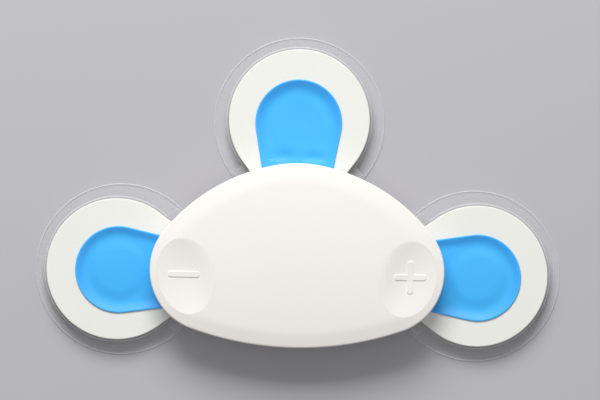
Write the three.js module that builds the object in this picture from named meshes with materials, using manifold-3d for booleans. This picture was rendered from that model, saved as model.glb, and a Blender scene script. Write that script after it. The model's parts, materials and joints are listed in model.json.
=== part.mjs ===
// Home heart monitor: an egg-shaped case with two press keys, snapped onto three stick-on electrode pads.
// Lengths are millimetres, +Z is up, and the case is drawn about the middle of its widest line.
// The finished group stands on the table with its origin at the middle of the whole footprint.

import * as THREE from "three";
import { mergeVertices, toCreasedNormals } from "three/addons/utils/BufferGeometryUtils.js";
import Module from "manifold-3d";

const wasm = await Module();
wasm.setup();

const DEGREE = Math.PI / 180;
const QUARTER_TURN = Math.PI / 2;
const HALF_TURN = Math.PI;
const FULL_TURN = Math.PI * 2;

// Faces round each kind of form.
const CASE_ARC_FACES = [4, 12, 7, 2];
const BELLY_FACES = 36;
const PAD_FACES = 28;
const KEY_FACES = 28;
const ROUND_FACES = 24;
const SMALL_FACES = 16;
const TINY_FACES = 12;
const TAB_END_FACES = 8;
const SECTOR_FACES = 4;
const MARK_CORNER_FACES = 3;
const CREASE_ANGLE = 30 * DEGREE;

// How far a cutting body runs past the faces that it cuts.
const OVERRUN = 1;
// Between pieces that rest on each other.
const SEAT_GAP = 0.1;
// Between a sheet and the soft pad that it carries.
const SOFT_GAP = 0.3;

// The case outline is four tangent arcs a side, given by their radii and by the direction of the
// outward normal where each one ends. The arc across the top is worked out to meet the middle line.
const CASE = {
  lowerEdge: 27.8,
  lowerRadius: 112.7,
  cornerRadius: 22,
  shoulderRadius: 66.3,
  lowerArcEnd: -70.6 * DEGREE,
  cornerArcEnd: 38.7 * DEGREE,
  shoulderArcEnd: 78.6 * DEGREE,
  wall: 1.8,
  roof: 1.8,
  splitHeight: 10,
  splitGap: 0.3,
  sideHeight: 4.2,
  rimRadius: 0.5,
  lowerBandWidth: 4.9,
  upperBandWidth: 5.8,
  bandDrop: 0.6,
  crown: 1.5,
};
// The crease where the band meets the roof is this share of the band's width, to either side.
const BAND_BLEND_SHARE = 0.25;
const RIM_STEPS = 2;
const OUTER_BAND_SHARES = [1 - BAND_BLEND_SHARE, 1, 1 + BAND_BLEND_SHARE];
const INNER_BAND_SHARES = [1 + BAND_BLEND_SHARE];
const OUTER_ROOF_SHARES = [0.75, 0.45, 0.2];
const INNER_ROOF_SHARES = [0.5];

// The underside: a raised shelf over the pads, and a belly that holds the battery.
const SHELF = {
  underside: 6.8,
  thickness: 1.6,
  curveWidth: 3.2,
};
const SHELF_STEPS = 4;
const BELLY = {
  tabGap: 1.2,
  underside: 4.2,
  thickness: 1.6,
  chamfer: 0.8,
};
const BELLY_POWER = 2.6;

// A soft ring in a groove along the rim of the bottom cover.
const GASKET = {
  grooveInset: 0.55,
  grooveWidth: 0.75,
  grooveDepth: 0.8,
  width: 0.5,
  proud: 0.2,
};

// The two keys fill oval openings in the top cover. Their top is a thumb dish.
const KEY = {
  fromSide: 12.9,
  belowMiddle: 3.05,
  halfWidth: 10.1,
  halfHeight: 13.6,
  lean: 13.5 * DEGREE,
  gap: 0.3,
  dishDepth: 1.35,
  underside: 13.25,
  travel: 0.6,
  postRadius: 1.8,
  lugWidth: 3,
  lugReach: 1.2,
  lugThickness: 0.7,
  lugRoom: 0.4,
};
const KEY_RING_SHARES = [0.93, 0.82, 0.66, 0.44, 0.2];
const KEY_LUG_ANGLES = [150 * DEGREE, 210 * DEGREE];
const EDGE_FADE_POWER = 4;
const MARK = {
  fromKeyX: 0.8,
  fromKeyY: 0.75,
  length: 11.3,
  height: 11.9,
  width: 2.4,
  cornerRadius: 0.8,
  rise: 0.4,
};

const BOARD = {
  inset: 5.4,
  seatHeight: 10.6,
  thickness: 0.8,
  holeRadius: 1.6,
};
const SWITCH = {
  size: 6,
  height: 1,
  plungerRadius: 1.6,
  plungerSink: 0.25,
  sideGap: 0.15,
  floorGap: 0.05,
};
const SHIELD = {
  x: 6,
  y: -13,
  length: 16,
  width: 10,
  height: 1.9,
  sheet: 0.3,
};
const CHIP = {
  x: -10,
  y: -12,
  size: 7,
  height: 0.9,
  leadReach: 0.9,
  leadWidth: 0.5,
  leadThickness: 0.2,
  leadPitch: 1.27,
};
const CHIP_LEADS_A_SIDE = 4;

const SCREW = {
  headRadius: 2.2,
  headHeight: 1.5,
  headSink: 0.3,
  slotWidth: 0.7,
  slotLength: 2.8,
  slotDepth: 0.8,
  shankRadius: 1.1,
  tipHeight: 14,
  bossRadius: 2.9,
  topBossRadius: 2.6,
  pilotRadius: 1.25,
  clearance: 0.25,
};
const SCREW_PLACES = [
  { side: -1, ofHalfLengthShare: 0.82, ofHalfWidthShare: -0.32 },
  { side: 1, ofHalfLengthShare: 0.82, ofHalfWidthShare: -0.32 },
  { side: -1, ofHalfLengthShare: 0.54, ofHalfWidthShare: 0.68 },
  { side: 1, ofHalfLengthShare: 0.54, ofHalfWidthShare: 0.68 },
];

// Coin cell, 20 mm across and 3.2 mm thick, over a quarter-turn door.
const CELL = {
  radius: 10,
  height: 3.2,
  capRadius: 8.7,
  capHeight: 0.4,
  edgeRadius: 0.3,
  sideGap: 0.4,
  wallThickness: 1.4,
};
const DOOR = {
  radius: 11.7,
  thickness: 2,
  gap: 0.3,
  lipHeight: 1.35,
  lugReach: 1.4,
  lugHeight: 0.5,
  lugHalfAngle: 13 * DEGREE,
  notchHalfAngle: 17 * DEGREE,
  turn: 40 * DEGREE,
  channelHeight: 0.8,
  channelWall: 1.4,
  slotLength: 14,
  slotWidth: 1.8,
  slotDepth: 0.9,
};
const DOOR_LUG_ANGLES = [90 * DEGREE, 210 * DEGREE, 330 * DEGREE];
const SEAL = {
  sectionRadius: 0.38,
  ringRadius: 11.4,
  fromUnderside: 0.9,
  grooveFloorRadius: 10.9,
  grooveHeight: 0.84,
};
const SEAL_SECTION_FACES = 5;
const BLADE = {
  sheet: 0.3,
  width: 4.6,
  footLength: 2.6,
  notchWidth: 5.4,
};
const LEAF = {
  sheet: 0.25,
  width: 4,
  length: 13,
};
// Bends of the leaf: along its half length, and up from the cell towards the board.
const LEAF_BEND_SHARES = [
  [-1, 1],
  [-0.33, 1],
  [0.33, 0],
  [0.5, 0],
  [1, 0.6],
];

// The stud is this far from the middle of its pad, under the case.
const STUD = {
  offset: 25,
  fromCaseSide: 13.2,
  fromCaseTop: 9.5,
  flangeRadius: 5,
  flangeThickness: 0.4,
  neckRadius: 1.55,
  neckLength: 1.3,
  headRadius: 2,
  headHeight: 1.5,
  boreRadius: 1.2,
  boreRoof: 0.5,
};
const STUD_HEAD_STEPS = 4;
const EYELET = {
  flangeRadius: 4.4,
  flangeThickness: 0.25,
  postRadius: 0.9,
};
const SOCKET = {
  radius: 4.85,
  flangeRadius: 6.2,
  flangeThickness: 0.7,
  height: 3,
  boreRadius: 2.3,
  boreDepth: 2.6,
  grooveRadius: 2.7,
  grooveHeight: 0.7,
  springWire: 0.25,
  springRingRadius: 2.05,
  leadInRadius: 2.9,
  leadInDepth: 0.3,
  sideGap: 0.15,
};
const SPRING_SECTION_FACES = 5;
const SPRING_UP_NECK_SHARE = 0.6;
const WASHER = {
  innerRadius: 1.2,
  outerRadius: 2.9,
  sheet: 0.2,
};

const SIDE_PAD_BELOW_MIDDLE = 0.9;
const LINER = {
  thickness: 0.4,
  platformHeight: 3.2,
  ringRadius: 25.9,
  outerRadius: 30.35,
  shift: 1.8,
};
const WEDGE_HALF_ANGLE = 47 * DEGREE;
const FOAM = {
  radius: 25,
  thickness: 2,
  tabRadius: 11,
  tabPastStud: 9.3,
  gelHoleRadius: 8.6,
  studHoleRadius: 4.8,
};
const FILM = {
  thickness: 0.4,
  discRadius: 15.4,
  shift: 0.8,
  tabRadius: 11.5,
  tabPastStud: 9,
  rimRadius: 14.6,
  valleyRadius: 10.4,
  valleyDepth: 1.05,
  middleDepth: 0.75,
};
// The film's middle bulges up a little inside its valley: shares of the valley's radius.
const FILM_BULGE_SHARES = [0, 0.6];
const GEL = {
  thickness: 0.7,
  sideGap: 0.3,
};
const LEAD = {
  thickness: 0.2,
  discRadius: 6.5,
  width: 4,
  endRadius: 3.4,
  clearance: 0.05,
};

// Working heights above the table, worked out from the sizes above.
const topCoverBase = CASE.splitHeight + CASE.splitGap;
const roofBase = topCoverBase + CASE.sideHeight + CASE.bandDrop;
const roofPeak = roofBase + CASE.crown;
const foamBase = LINER.platformHeight + SOFT_GAP;
const foamTop = foamBase + FOAM.thickness;
const filmTop = foamTop + SEAT_GAP + FILM.thickness;
const filmBase = filmTop - FILM.thickness;
const leadTop = filmBase - LEAD.clearance;
const leadBase = leadTop - LEAD.thickness;
const studBase = filmTop + SEAT_GAP;
const studFlangeTop = studBase + STUD.flangeThickness;
const studNeckTop = studFlangeTop + STUD.neckLength;
const studTop = studNeckTop + STUD.headHeight;
const shelfTop = SHELF.underside + SHELF.thickness;
const bellyFloor = BELLY.underside + BELLY.thickness;
const boardTop = BOARD.seatHeight + BOARD.thickness;
const bottomBossTop = BOARD.seatHeight - SOFT_GAP;
const topBossBase = boardTop + SOFT_GAP;
const socketBase = SHELF.underside + SEAT_GAP;
const socketTop = socketBase + SOCKET.height;
const switchBase = boardTop + SEAT_GAP;
const switchTop = switchBase + SWITCH.height;
const plungerTop = switchTop + KEY.travel;
const plungerBase = switchTop - SWITCH.plungerSink;
const switchBoreFloor = plungerBase - KEY.travel - SWITCH.floorGap;
const doorTop = BELLY.underside + DOOR.thickness;
const cellBase = doorTop + SOFT_GAP - SEAT_GAP;
const cellTop = cellBase + CELL.height;
const channelBase = BELLY.underside + DOOR.lipHeight;
const channelTop = channelBase + DOOR.channelHeight;
const channelRadius = DOOR.radius + DOOR.lugReach + DOOR.gap;

// Outline of the case.

function caseArcs() {
  const arcs = [];
  const ends = [
    [CASE.lowerRadius, CASE.lowerArcEnd],
    [CASE.cornerRadius, CASE.cornerArcEnd],
    [CASE.shoulderRadius, CASE.shoulderArcEnd],
  ];
  let start = -QUARTER_TURN;
  let centre = new THREE.Vector2(0, CASE.lowerRadius - CASE.lowerEdge);
  let radius = CASE.lowerRadius;
  for (const [nextRadius, end] of ends) {
    const turn = new THREE.Vector2(Math.cos(start), Math.sin(start));
    centre = centre.clone().addScaledVector(turn, radius - nextRadius);
    radius = nextRadius;
    arcs.push({ start, end, centre, radius });
    start = end;
  }
  const topRadius = radius + centre.x / Math.cos(start);
  const turn = new THREE.Vector2(Math.cos(start), Math.sin(start));
  centre = centre.clone().addScaledVector(turn, radius - topRadius);
  arcs.push({ start, end: QUARTER_TURN, centre, radius: topRadius });
  return arcs;
}

const ARCS = caseArcs();

// Outward directions round the case, closer together where the outline turns faster.
function caseDirections() {
  const right = [];
  ARCS.forEach((arc, which) => {
    const faces = CASE_ARC_FACES[which];
    for (let k = 0; k < faces; k += 1) {
      right.push(arc.start + ((arc.end - arc.start) * k) / faces);
    }
  });
  const left = right.map((direction) => HALF_TURN - direction).reverse();
  return [...right, QUARTER_TURN, ...left.slice(0, -1)];
}

const CASE_DIRECTIONS = caseDirections();

// The point of the outline whose outward normal has this direction, moved in by an inset.
function casePoint(direction, inset) {
  const right = Math.cos(direction) >= 0;
  const folded = Math.atan2(Math.sin(direction), Math.abs(Math.cos(direction)));
  const arc = ARCS.find((one) => folded <= one.end) ?? ARCS[ARCS.length - 1];
  const reach = arc.radius - inset;
  const x = arc.centre.x + reach * Math.cos(folded);
  const y = arc.centre.y + reach * Math.sin(folded);
  return new THREE.Vector2(right ? x : -x, y);
}

const caseHalfWidth = casePoint(0, 0).x;
const caseTopEdge = casePoint(QUARTER_TURN, 0).y;
const caseMiddleY = (caseTopEdge - CASE.lowerEdge) / 2;
const caseHalfDepth = (caseTopEdge + CASE.lowerEdge) / 2;

// How far inside the outline a point lies, and the direction of the nearest outward normal.
function caseInset(x, y) {
  const side = Math.abs(x);
  for (const arc of ARCS) {
    const direction = Math.atan2(y - arc.centre.y, side - arc.centre.x);
    if (direction >= arc.start && direction <= arc.end) {
      const inset = arc.radius - Math.hypot(side - arc.centre.x, y - arc.centre.y);
      return { inset, direction };
    }
  }
  return { inset: CASE.cornerRadius, direction: 0 };
}

// The sloping band round the roof is wider along the top of the egg than along its lower side.
function bandWidth(direction) {
  const upShare = (1 + Math.sin(direction)) / 2;
  return CASE.lowerBandWidth + (CASE.upperBandWidth - CASE.lowerBandWidth) * upShare;
}

// Share of the band's drop: a straight slope, joined to the roof by a soft crease.
function bandDropShare(insetShare) {
  const beforeRoof = 1 + BAND_BLEND_SHARE - insetShare;
  if (beforeRoof <= 0) {
    return 0;
  }
  if (beforeRoof >= BAND_BLEND_SHARE * 2) {
    return 1 - insetShare;
  }
  return (beforeRoof * beforeRoof) / (BAND_BLEND_SHARE * 4);
}

function rimDrop(inset) {
  const short = Math.max(CASE.rimRadius - inset, 0);
  return CASE.rimRadius - Math.sqrt(CASE.rimRadius * CASE.rimRadius - short * short);
}

function crownAt(x, y) {
  const across = x / caseHalfWidth;
  const along = (y - caseMiddleY) / caseHalfDepth;
  return CASE.crown * (1 - across * across - along * along);
}

function skinHeight(x, y, inset, direction) {
  const bandShare = bandDropShare(inset / bandWidth(direction));
  return roofBase + crownAt(x, y) - CASE.bandDrop * bandShare - rimDrop(inset);
}

// Height of the top cover's outer face over a point of the plan.
function roofHeight(x, y) {
  const { inset, direction } = caseInset(x, y);
  return skinHeight(x, y, inset, direction);
}

// Solids.

// Turns a closed geometry into a solid with its faces pointing out.
function solidOf(geometry) {
  const bare = new THREE.BufferGeometry();
  bare.setAttribute("position", geometry.getAttribute("position"));
  bare.setIndex(geometry.getIndex());
  const merged = mergeVertices(bare);
  const vertProperties = new Float32Array(merged.getAttribute("position").array);
  const triVerts = new Uint32Array(merged.getIndex().array);
  const whole = new wasm.Manifold(new wasm.Mesh({ numProp: 3, vertProperties, triVerts }));
  if (whole.volume() > 0) {
    return whole;
  }
  for (let k = 0; k < triVerts.length; k += 3) {
    const first = triVerts[k];
    triVerts[k] = triVerts[k + 1];
    triVerts[k + 1] = first;
  }
  return new wasm.Manifold(new wasm.Mesh({ numProp: 3, vertProperties, triVerts }));
}

function geometryOf(solid) {
  const mesh = solid.getMesh();
  const geometry = new THREE.BufferGeometry();
  const positions = new Float32Array(mesh.numVert * 3);
  for (let k = 0; k < mesh.numVert; k += 1) {
    for (let axis = 0; axis < 3; axis += 1) {
      positions[k * 3 + axis] = mesh.vertProperties[k * mesh.numProp + axis];
    }
  }
  geometry.setAttribute("position", new THREE.BufferAttribute(positions, 3));
  geometry.setIndex(new THREE.BufferAttribute(new Uint32Array(mesh.triVerts), 1));
  return toCreasedNormals(geometry, CREASE_ANGLE);
}

function cylinder(radius, low, high, faces = PAD_FACES, x = 0, y = 0) {
  const geometry = new THREE.CylinderGeometry(radius, radius, high - low, faces);
  geometry.rotateX(QUARTER_TURN);
  geometry.rotateZ(QUARTER_TURN);
  return solidOf(geometry.translate(x, y, (low + high) / 2));
}

function block(lowCorner, highCorner) {
  const size = highCorner.map((value, axis) => value - lowCorner[axis]);
  const middle = highCorner.map((value, axis) => (value + lowCorner[axis]) / 2);
  return solidOf(new THREE.BoxGeometry(...size).translate(...middle));
}

function prism(shape, low, high, faces = SMALL_FACES) {
  const options = { depth: high - low, bevelEnabled: false, curveSegments: faces };
  return solidOf(new THREE.ExtrudeGeometry(shape, options).translate(0, 0, low));
}

// Revolves a profile of [radius, height] pairs about the Z axis.
function revolve(profile, faces = PAD_FACES) {
  const points = profile.map(([radius, height]) => new THREE.Vector2(radius, height));
  const geometry = new THREE.LatheGeometry(points, faces);
  geometry.rotateX(QUARTER_TURN);
  geometry.rotateZ(QUARTER_TURN);
  return solidOf(geometry);
}

// Joins rings of equally many points into a skin and closes both ends to their middle.
function loft(rings) {
  const count = rings[0].length;
  const positions = rings.flat().flatMap((point) => [point.x, point.y, point.z]);
  const index = [];
  for (let ring = 0; ring + 1 < rings.length; ring += 1) {
    for (let k = 0; k < count; k += 1) {
      const next = (k + 1) % count;
      const a = ring * count + k;
      const b = ring * count + next;
      index.push(a, b, b + count, a, b + count, a + count);
    }
  }
  const ends = [rings[0], rings[rings.length - 1]];
  ends.forEach((ring, which) => {
    const middle = ring.reduce((sum, point) => sum.add(point), new THREE.Vector3());
    middle.divideScalar(count);
    const hub = positions.length / 3;
    positions.push(middle.x, middle.y, middle.z);
    const base = which === 0 ? 0 : (rings.length - 1) * count;
    for (let k = 0; k < count; k += 1) {
      const next = (k + 1) % count;
      const pair = which === 0 ? [base + next, base + k] : [base + k, base + next];
      index.push(pair[0], pair[1], hub);
    }
  });
  const geometry = new THREE.BufferGeometry();
  geometry.setAttribute("position", new THREE.Float32BufferAttribute(positions, 3));
  geometry.setIndex(index);
  return solidOf(geometry);
}

function joined(solids) {
  return solids.reduce((sum, one) => sum.add(one));
}

function caseRing(insetOf, heightOf) {
  return CASE_DIRECTIONS.map((direction) => {
    const point = casePoint(direction, insetOf(direction));
    return new THREE.Vector3(point.x, point.y, heightOf(point.x, point.y, direction));
  });
}

function casePrism(inset, low, high) {
  return loft([caseRing(() => inset, () => low), caseRing(() => inset, () => high)]);
}

// A round end on the pad's middle and a smaller one at the stud, joined by their tangents.
function tabShape({ radius, x, tabRadius, tabPastStud }) {
  const tabX = STUD.offset + tabPastStud - tabRadius;
  const tangent = Math.acos((radius - tabRadius) / (tabX - x));
  const points = [];
  for (let k = 0; k <= PAD_FACES; k += 1) {
    const angle = tangent + ((FULL_TURN - tangent * 2) * k) / PAD_FACES;
    points.push(new THREE.Vector2(x + radius * Math.cos(angle), radius * Math.sin(angle)));
  }
  for (let k = 0; k <= TAB_END_FACES; k += 1) {
    const angle = -tangent + (tangent * 2 * k) / TAB_END_FACES;
    const along = tabX + tabRadius * Math.cos(angle);
    points.push(new THREE.Vector2(along, tabRadius * Math.sin(angle)));
  }
  return new THREE.Shape(points);
}

function sectorShape(radius, middle, halfAngle) {
  const start = middle - halfAngle;
  const shape = new THREE.Shape();
  shape.moveTo(0, 0);
  shape.lineTo(radius * Math.cos(start), radius * Math.sin(start));
  shape.absarc(0, 0, radius, start, middle + halfAngle, false);
  return shape;
}

// Places.

const PADS = [
  {
    name: "left",
    x: -(caseHalfWidth - STUD.fromCaseSide + STUD.offset),
    y: -SIDE_PAD_BELOW_MIDDLE,
    turn: 0,
  },
  {
    name: "right",
    x: caseHalfWidth - STUD.fromCaseSide + STUD.offset,
    y: -SIDE_PAD_BELOW_MIDDLE,
    turn: HALF_TURN,
  },
  {
    name: "top",
    x: 0,
    y: caseTopEdge - STUD.fromCaseTop + STUD.offset,
    turn: -QUARTER_TURN,
  },
];

function studPlace(pad) {
  const x = pad.x + STUD.offset * Math.cos(pad.turn);
  const y = pad.y + STUD.offset * Math.sin(pad.turn);
  return { x, y };
}

// The belly ends short of the tabs of the pads.
const bellyHalfLength = caseHalfWidth - STUD.fromCaseSide - FOAM.tabPastStud - BELLY.tabGap;
const bellyHalfWidth = caseTopEdge - STUD.fromCaseTop - FOAM.tabPastStud - BELLY.tabGap;

const keyX = caseHalfWidth - KEY.fromSide;
const keyY = -KEY.belowMiddle;

function screwPlaces() {
  return SCREW_PLACES.map(({ side, ofHalfLengthShare, ofHalfWidthShare }) => ({
    x: side * bellyHalfLength * ofHalfLengthShare,
    y: bellyHalfWidth * ofHalfWidthShare,
  }));
}

// Case.

// The outside skin of the top cover, or the inside one a wall and a roof further in, as a filled form.
function domeSolid(wall, roof, base, rimSteps, bandShares, roofShares) {
  const rings = [caseRing(() => wall, () => base)];
  const addRing = (insetOf) => rings.push(caseRing(
    (direction) => wall + insetOf(direction),
    (x, y, direction) => skinHeight(x, y, insetOf(direction), direction) - roof,
  ));
  for (let step = 0; step <= rimSteps; step += 1) {
    const angle = rimSteps === 0 ? 0 : (QUARTER_TURN * step) / rimSteps;
    addRing(() => CASE.rimRadius * (1 - Math.cos(angle)));
  }
  for (const share of bandShares) {
    addRing((direction) => bandWidth(direction) * share);
  }
  const edge = rings[rings.length - 1];
  for (const share of roofShares) {
    rings.push(edge.map((point) => {
      const x = point.x * share;
      const y = caseMiddleY + (point.y - caseMiddleY) * share;
      return new THREE.Vector3(x, y, roofBase + crownAt(x, y) - roof);
    }));
  }
  return loft(rings);
}

// A point on the leaning oval of a key, or on a smaller oval inside it.
function keyPoint(side, grow, share, angle) {
  const across = (KEY.halfWidth + grow) * share * Math.cos(angle);
  const along = (KEY.halfHeight + grow) * share * Math.sin(angle);
  const x = across * Math.cos(KEY.lean) + along * Math.sin(KEY.lean);
  const y = along * Math.cos(KEY.lean) - across * Math.sin(KEY.lean);
  return { x: side * (keyX + x), y: keyY + y, angle };
}

function keyOutline(side, grow, share) {
  const outline = [];
  for (let k = 0; k < KEY_FACES; k += 1) {
    outline.push(keyPoint(side, grow, share, (FULL_TURN * k) / KEY_FACES));
  }
  return side > 0 ? outline : outline.reverse();
}

function keyPrism(side, grow, low, high) {
  const ringAt = (height) => keyOutline(side, grow, 1)
    .map(({ x, y }) => new THREE.Vector3(x, y, height));
  return loft([ringAt(low), ringAt(high)]);
}

// Depth of the thumb dish. It ends in a crisp edge on the outer side and fades out on the inner.
function dishDepth(share, angle) {
  const innerShare = (1 - Math.cos(angle)) / 2;
  const power = 1 + innerShare * innerShare;
  return KEY.dishDepth * Math.pow(1 - share * share, power);
}

// Height of the key's top. The band's slope at the key's edge dies away over the dish.
function keyTop(side, share, angle) {
  const point = keyPoint(side, 0, share, angle);
  const edge = keyPoint(side, 0, 1, angle);
  const edgeDrop = roofBase + crownAt(edge.x, edge.y) - roofHeight(edge.x, edge.y);
  const roof = roofBase + crownAt(point.x, point.y);
  return roof - edgeDrop * Math.pow(share, EDGE_FADE_POWER) - dishDepth(share, angle);
}

function keyBody(side, raise) {
  const floor = keyOutline(side, 0, 1).map(({ x, y }) => new THREE.Vector3(x, y, KEY.underside));
  const rings = [floor];
  for (const share of [1, ...KEY_RING_SHARES]) {
    rings.push(keyOutline(side, 0, share).map(({ x, y, angle }) => (
      new THREE.Vector3(x, y, keyTop(side, share, angle) + raise)
    )));
  }
  return loft(rings);
}

function roundedBar(x, y, length, width) {
  const halfLength = length / 2;
  const halfWidth = width / 2;
  const corner = MARK.cornerRadius;
  const shape = new THREE.Shape();
  shape.absarc(x + halfLength - corner, y + halfWidth - corner, corner, 0, QUARTER_TURN);
  shape.absarc(x - halfLength + corner, y + halfWidth - corner, corner, QUARTER_TURN, HALF_TURN);
  shape.absarc(x - halfLength + corner, y - halfWidth + corner, corner, HALF_TURN, -QUARTER_TURN);
  shape.absarc(x + halfLength - corner, y - halfWidth + corner, corner, -QUARTER_TURN, 0);
  return shape;
}

// The raised sign in the dish: one bar for minus, two crossed bars for plus.
function keyMark(side) {
  const x = side * (keyX + MARK.fromKeyX);
  const y = keyY + MARK.fromKeyY;
  const low = KEY.underside;
  const high = roofPeak + MARK.rise;
  const barPrism = (length, width) => prism(
    roundedBar(x, y, length, width), low, high, MARK_CORNER_FACES,
  );
  const across = barPrism(MARK.length, MARK.width);
  return side < 0 ? across : across.add(barPrism(MARK.width, MARK.height));
}

// Small hooks under the cover keep the key from lifting out.
function keyLugs(side) {
  const low = KEY.underside;
  return KEY_LUG_ANGLES.map((angle) => {
    const point = keyPoint(side, 0, 1, angle);
    const inwards = -side;
    const roof = roofHeight(point.x, point.y) - CASE.roof - KEY.lugRoom;
    const edges = [
      point.x - inwards * KEY.lugThickness,
      point.x + inwards * KEY.lugReach,
    ];
    const foot = block(
      [Math.min(...edges), point.y - KEY.lugWidth / 2, low],
      [Math.max(...edges), point.y + KEY.lugWidth / 2, low + KEY.lugThickness],
    );
    const hook = block(
      [Math.min(edges[1], edges[1] - inwards * KEY.lugThickness / 2), point.y - KEY.lugWidth / 2, low],
      [Math.max(edges[1], edges[1] - inwards * KEY.lugThickness / 2), point.y + KEY.lugWidth / 2, roof],
    );
    return foot.add(hook);
  });
}

function keySolid(side) {
  const mark = keyBody(side, MARK.rise).intersect(keyMark(side));
  const post = cylinder(
    KEY.postRadius, plungerTop + SEAT_GAP, KEY.underside + KEY.lugThickness, SMALL_FACES, side * keyX, keyY,
  );
  return joined([keyBody(side, 0), mark, post, ...keyLugs(side)]);
}

function topCover() {
  const outside = domeSolid(
    0, 0, topCoverBase, RIM_STEPS, OUTER_BAND_SHARES, OUTER_ROOF_SHARES,
  );
  const inside = domeSolid(
    CASE.wall, CASE.roof, topCoverBase - OVERRUN, 0, INNER_BAND_SHARES, INNER_ROOF_SHARES,
  );
  const bosses = screwPlaces().map(({ x, y }) => {
    const boss = cylinder(
      SCREW.topBossRadius, topBossBase, roofHeight(x, y) - CASE.roof / 2, TINY_FACES, x, y,
    );
    const pilot = cylinder(
      SCREW.pilotRadius, topBossBase - OVERRUN, SCREW.tipHeight + SOFT_GAP, TINY_FACES, x, y,
    );
    return boss.subtract(pilot);
  });
  const openingLow = KEY.underside - OVERRUN;
  const openingHigh = roofPeak + OVERRUN;
  const openings = [-1, 1].map((side) => keyPrism(side, KEY.gap, openingLow, openingHigh));
  return joined([outside.subtract(inside), ...bosses]).subtract(joined(openings));
}

function bellyRing(shrink, height) {
  const ring = [];
  for (let k = 0; k < BELLY_FACES; k += 1) {
    const angle = (FULL_TURN * k) / BELLY_FACES;
    const across = Math.cos(angle);
    const along = Math.sin(angle);
    const x = Math.sign(across) * Math.pow(Math.abs(across), 2 / BELLY_POWER);
    const y = Math.sign(along) * Math.pow(Math.abs(along), 2 / BELLY_POWER);
    ring.push(new THREE.Vector3(
      x * (bellyHalfLength - shrink), y * (bellyHalfWidth - shrink), height,
    ));
  }
  return ring;
}

// The outside of the bottom cover above the belly, rounded in towards its flat underside.
function shelfSolid() {
  const rings = [];
  const depth = CASE.splitHeight - SHELF.underside;
  for (let step = 0; step <= SHELF_STEPS; step += 1) {
    const angle = (QUARTER_TURN * step) / SHELF_STEPS;
    const inset = SHELF.curveWidth * (1 - Math.sin(angle));
    const height = SHELF.underside + depth * (1 - Math.cos(angle));
    rings.push(caseRing(() => inset, () => height));
  }
  return loft(rings);
}

function batteryHousing() {
  const guardRadius = channelRadius + DOOR.channelWall;
  const guardTop = channelTop + DOOR.channelWall;
  const guard = cylinder(guardRadius, BELLY.underside, guardTop, ROUND_FACES);
  const wallRadius = CELL.radius + CELL.sideGap + CELL.wallThickness;
  const cellWall = cylinder(wallRadius, bellyFloor, cellTop - CELL.capHeight, ROUND_FACES);
  return guard.add(cellWall);
}

// Everything that the door, its seal and the cell need cut out of the bottom cover.
function batterySpace() {
  const pocketRadius = CELL.radius + CELL.sideGap;
  const mouth = cylinder(DOOR.radius + DOOR.gap, BELLY.underside - OVERRUN, channelTop, ROUND_FACES);
  const channel = cylinder(channelRadius, channelBase, channelTop, ROUND_FACES);
  const pocket = cylinder(pocketRadius, channelBase, cellTop + OVERRUN, ROUND_FACES);
  const notches = DOOR_LUG_ANGLES.map((angle) => prism(
    sectorShape(channelRadius, angle - DOOR.turn, DOOR.notchHalfAngle),
    BELLY.underside - OVERRUN,
    channelTop,
    SECTOR_FACES,
  ));
  const bladeRoom = block(
    [-BLADE.notchWidth / 2, CELL.radius - OVERRUN, channelTop + BLADE.sheet],
    [BLADE.notchWidth / 2, channelRadius + DOOR.channelWall + OVERRUN, cellTop + OVERRUN],
  );
  return joined([mouth, channel, pocket, ...notches, bladeRoom]);
}

function gasketGroove(low, high, inset, width) {
  return casePrism(inset, low, high).subtract(casePrism(inset + width, low - OVERRUN, high + OVERRUN));
}

function bottomCover() {
  const split = CASE.splitHeight;
  const shelf = shelfSolid();
  const belly = loft([
    bellyRing(BELLY.chamfer, BELLY.underside),
    bellyRing(0, BELLY.underside + BELLY.chamfer),
    bellyRing(0, shelfTop),
  ]);
  const hollow = casePrism(CASE.wall, shelfTop, split + OVERRUN);
  const bellyHollow = loft([
    bellyRing(CASE.wall, bellyFloor),
    bellyRing(CASE.wall, shelfTop + OVERRUN),
  ]);
  const shell = shelf.add(belly).subtract(hollow.add(bellyHollow));
  const bosses = screwPlaces().map(({ x, y }) => cylinder(
    SCREW.bossRadius, BELLY.underside, bottomBossTop, TINY_FACES, x, y,
  ));
  const screwRoom = screwPlaces().flatMap(({ x, y }) => {
    const headRoof = BELLY.underside + SCREW.headSink + SCREW.headHeight + SEAT_GAP;
    const hole = SCREW.shankRadius + SCREW.clearance;
    const sink = SCREW.headRadius + SCREW.clearance;
    return [
      cylinder(hole, BELLY.underside, bottomBossTop + OVERRUN, TINY_FACES, x, y),
      cylinder(sink, BELLY.underside - OVERRUN, headRoof, TINY_FACES, x, y),
    ];
  });
  const socketHoles = PADS.map((pad) => {
    const { x, y } = studPlace(pad);
    const hole = SOCKET.radius + SOCKET.sideGap;
    return cylinder(hole, SHELF.underside - OVERRUN, shelfTop + OVERRUN, ROUND_FACES, x, y);
  });
  const groove = gasketGroove(
    split - GASKET.grooveDepth, split + OVERRUN, GASKET.grooveInset, GASKET.grooveWidth,
  );
  const whole = joined([shell, batteryHousing(), ...bosses]);
  return whole.subtract(joined([batterySpace(), groove, ...screwRoom, ...socketHoles]));
}

function caseGasket() {
  const sideGap = (GASKET.grooveWidth - GASKET.width) / 2;
  const low = CASE.splitHeight - GASKET.grooveDepth + SEAT_GAP;
  const high = CASE.splitHeight + GASKET.proud;
  return gasketGroove(low, high, GASKET.grooveInset + sideGap, GASKET.width);
}

// Inside the case.

function circuitBoard() {
  const board = casePrism(BOARD.inset, BOARD.seatHeight, boardTop);
  const holes = screwPlaces().map(({ x, y }) => cylinder(
    BOARD.holeRadius, BOARD.seatHeight - OVERRUN, boardTop + OVERRUN, TINY_FACES, x, y,
  ));
  return board.subtract(joined(holes));
}

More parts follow.
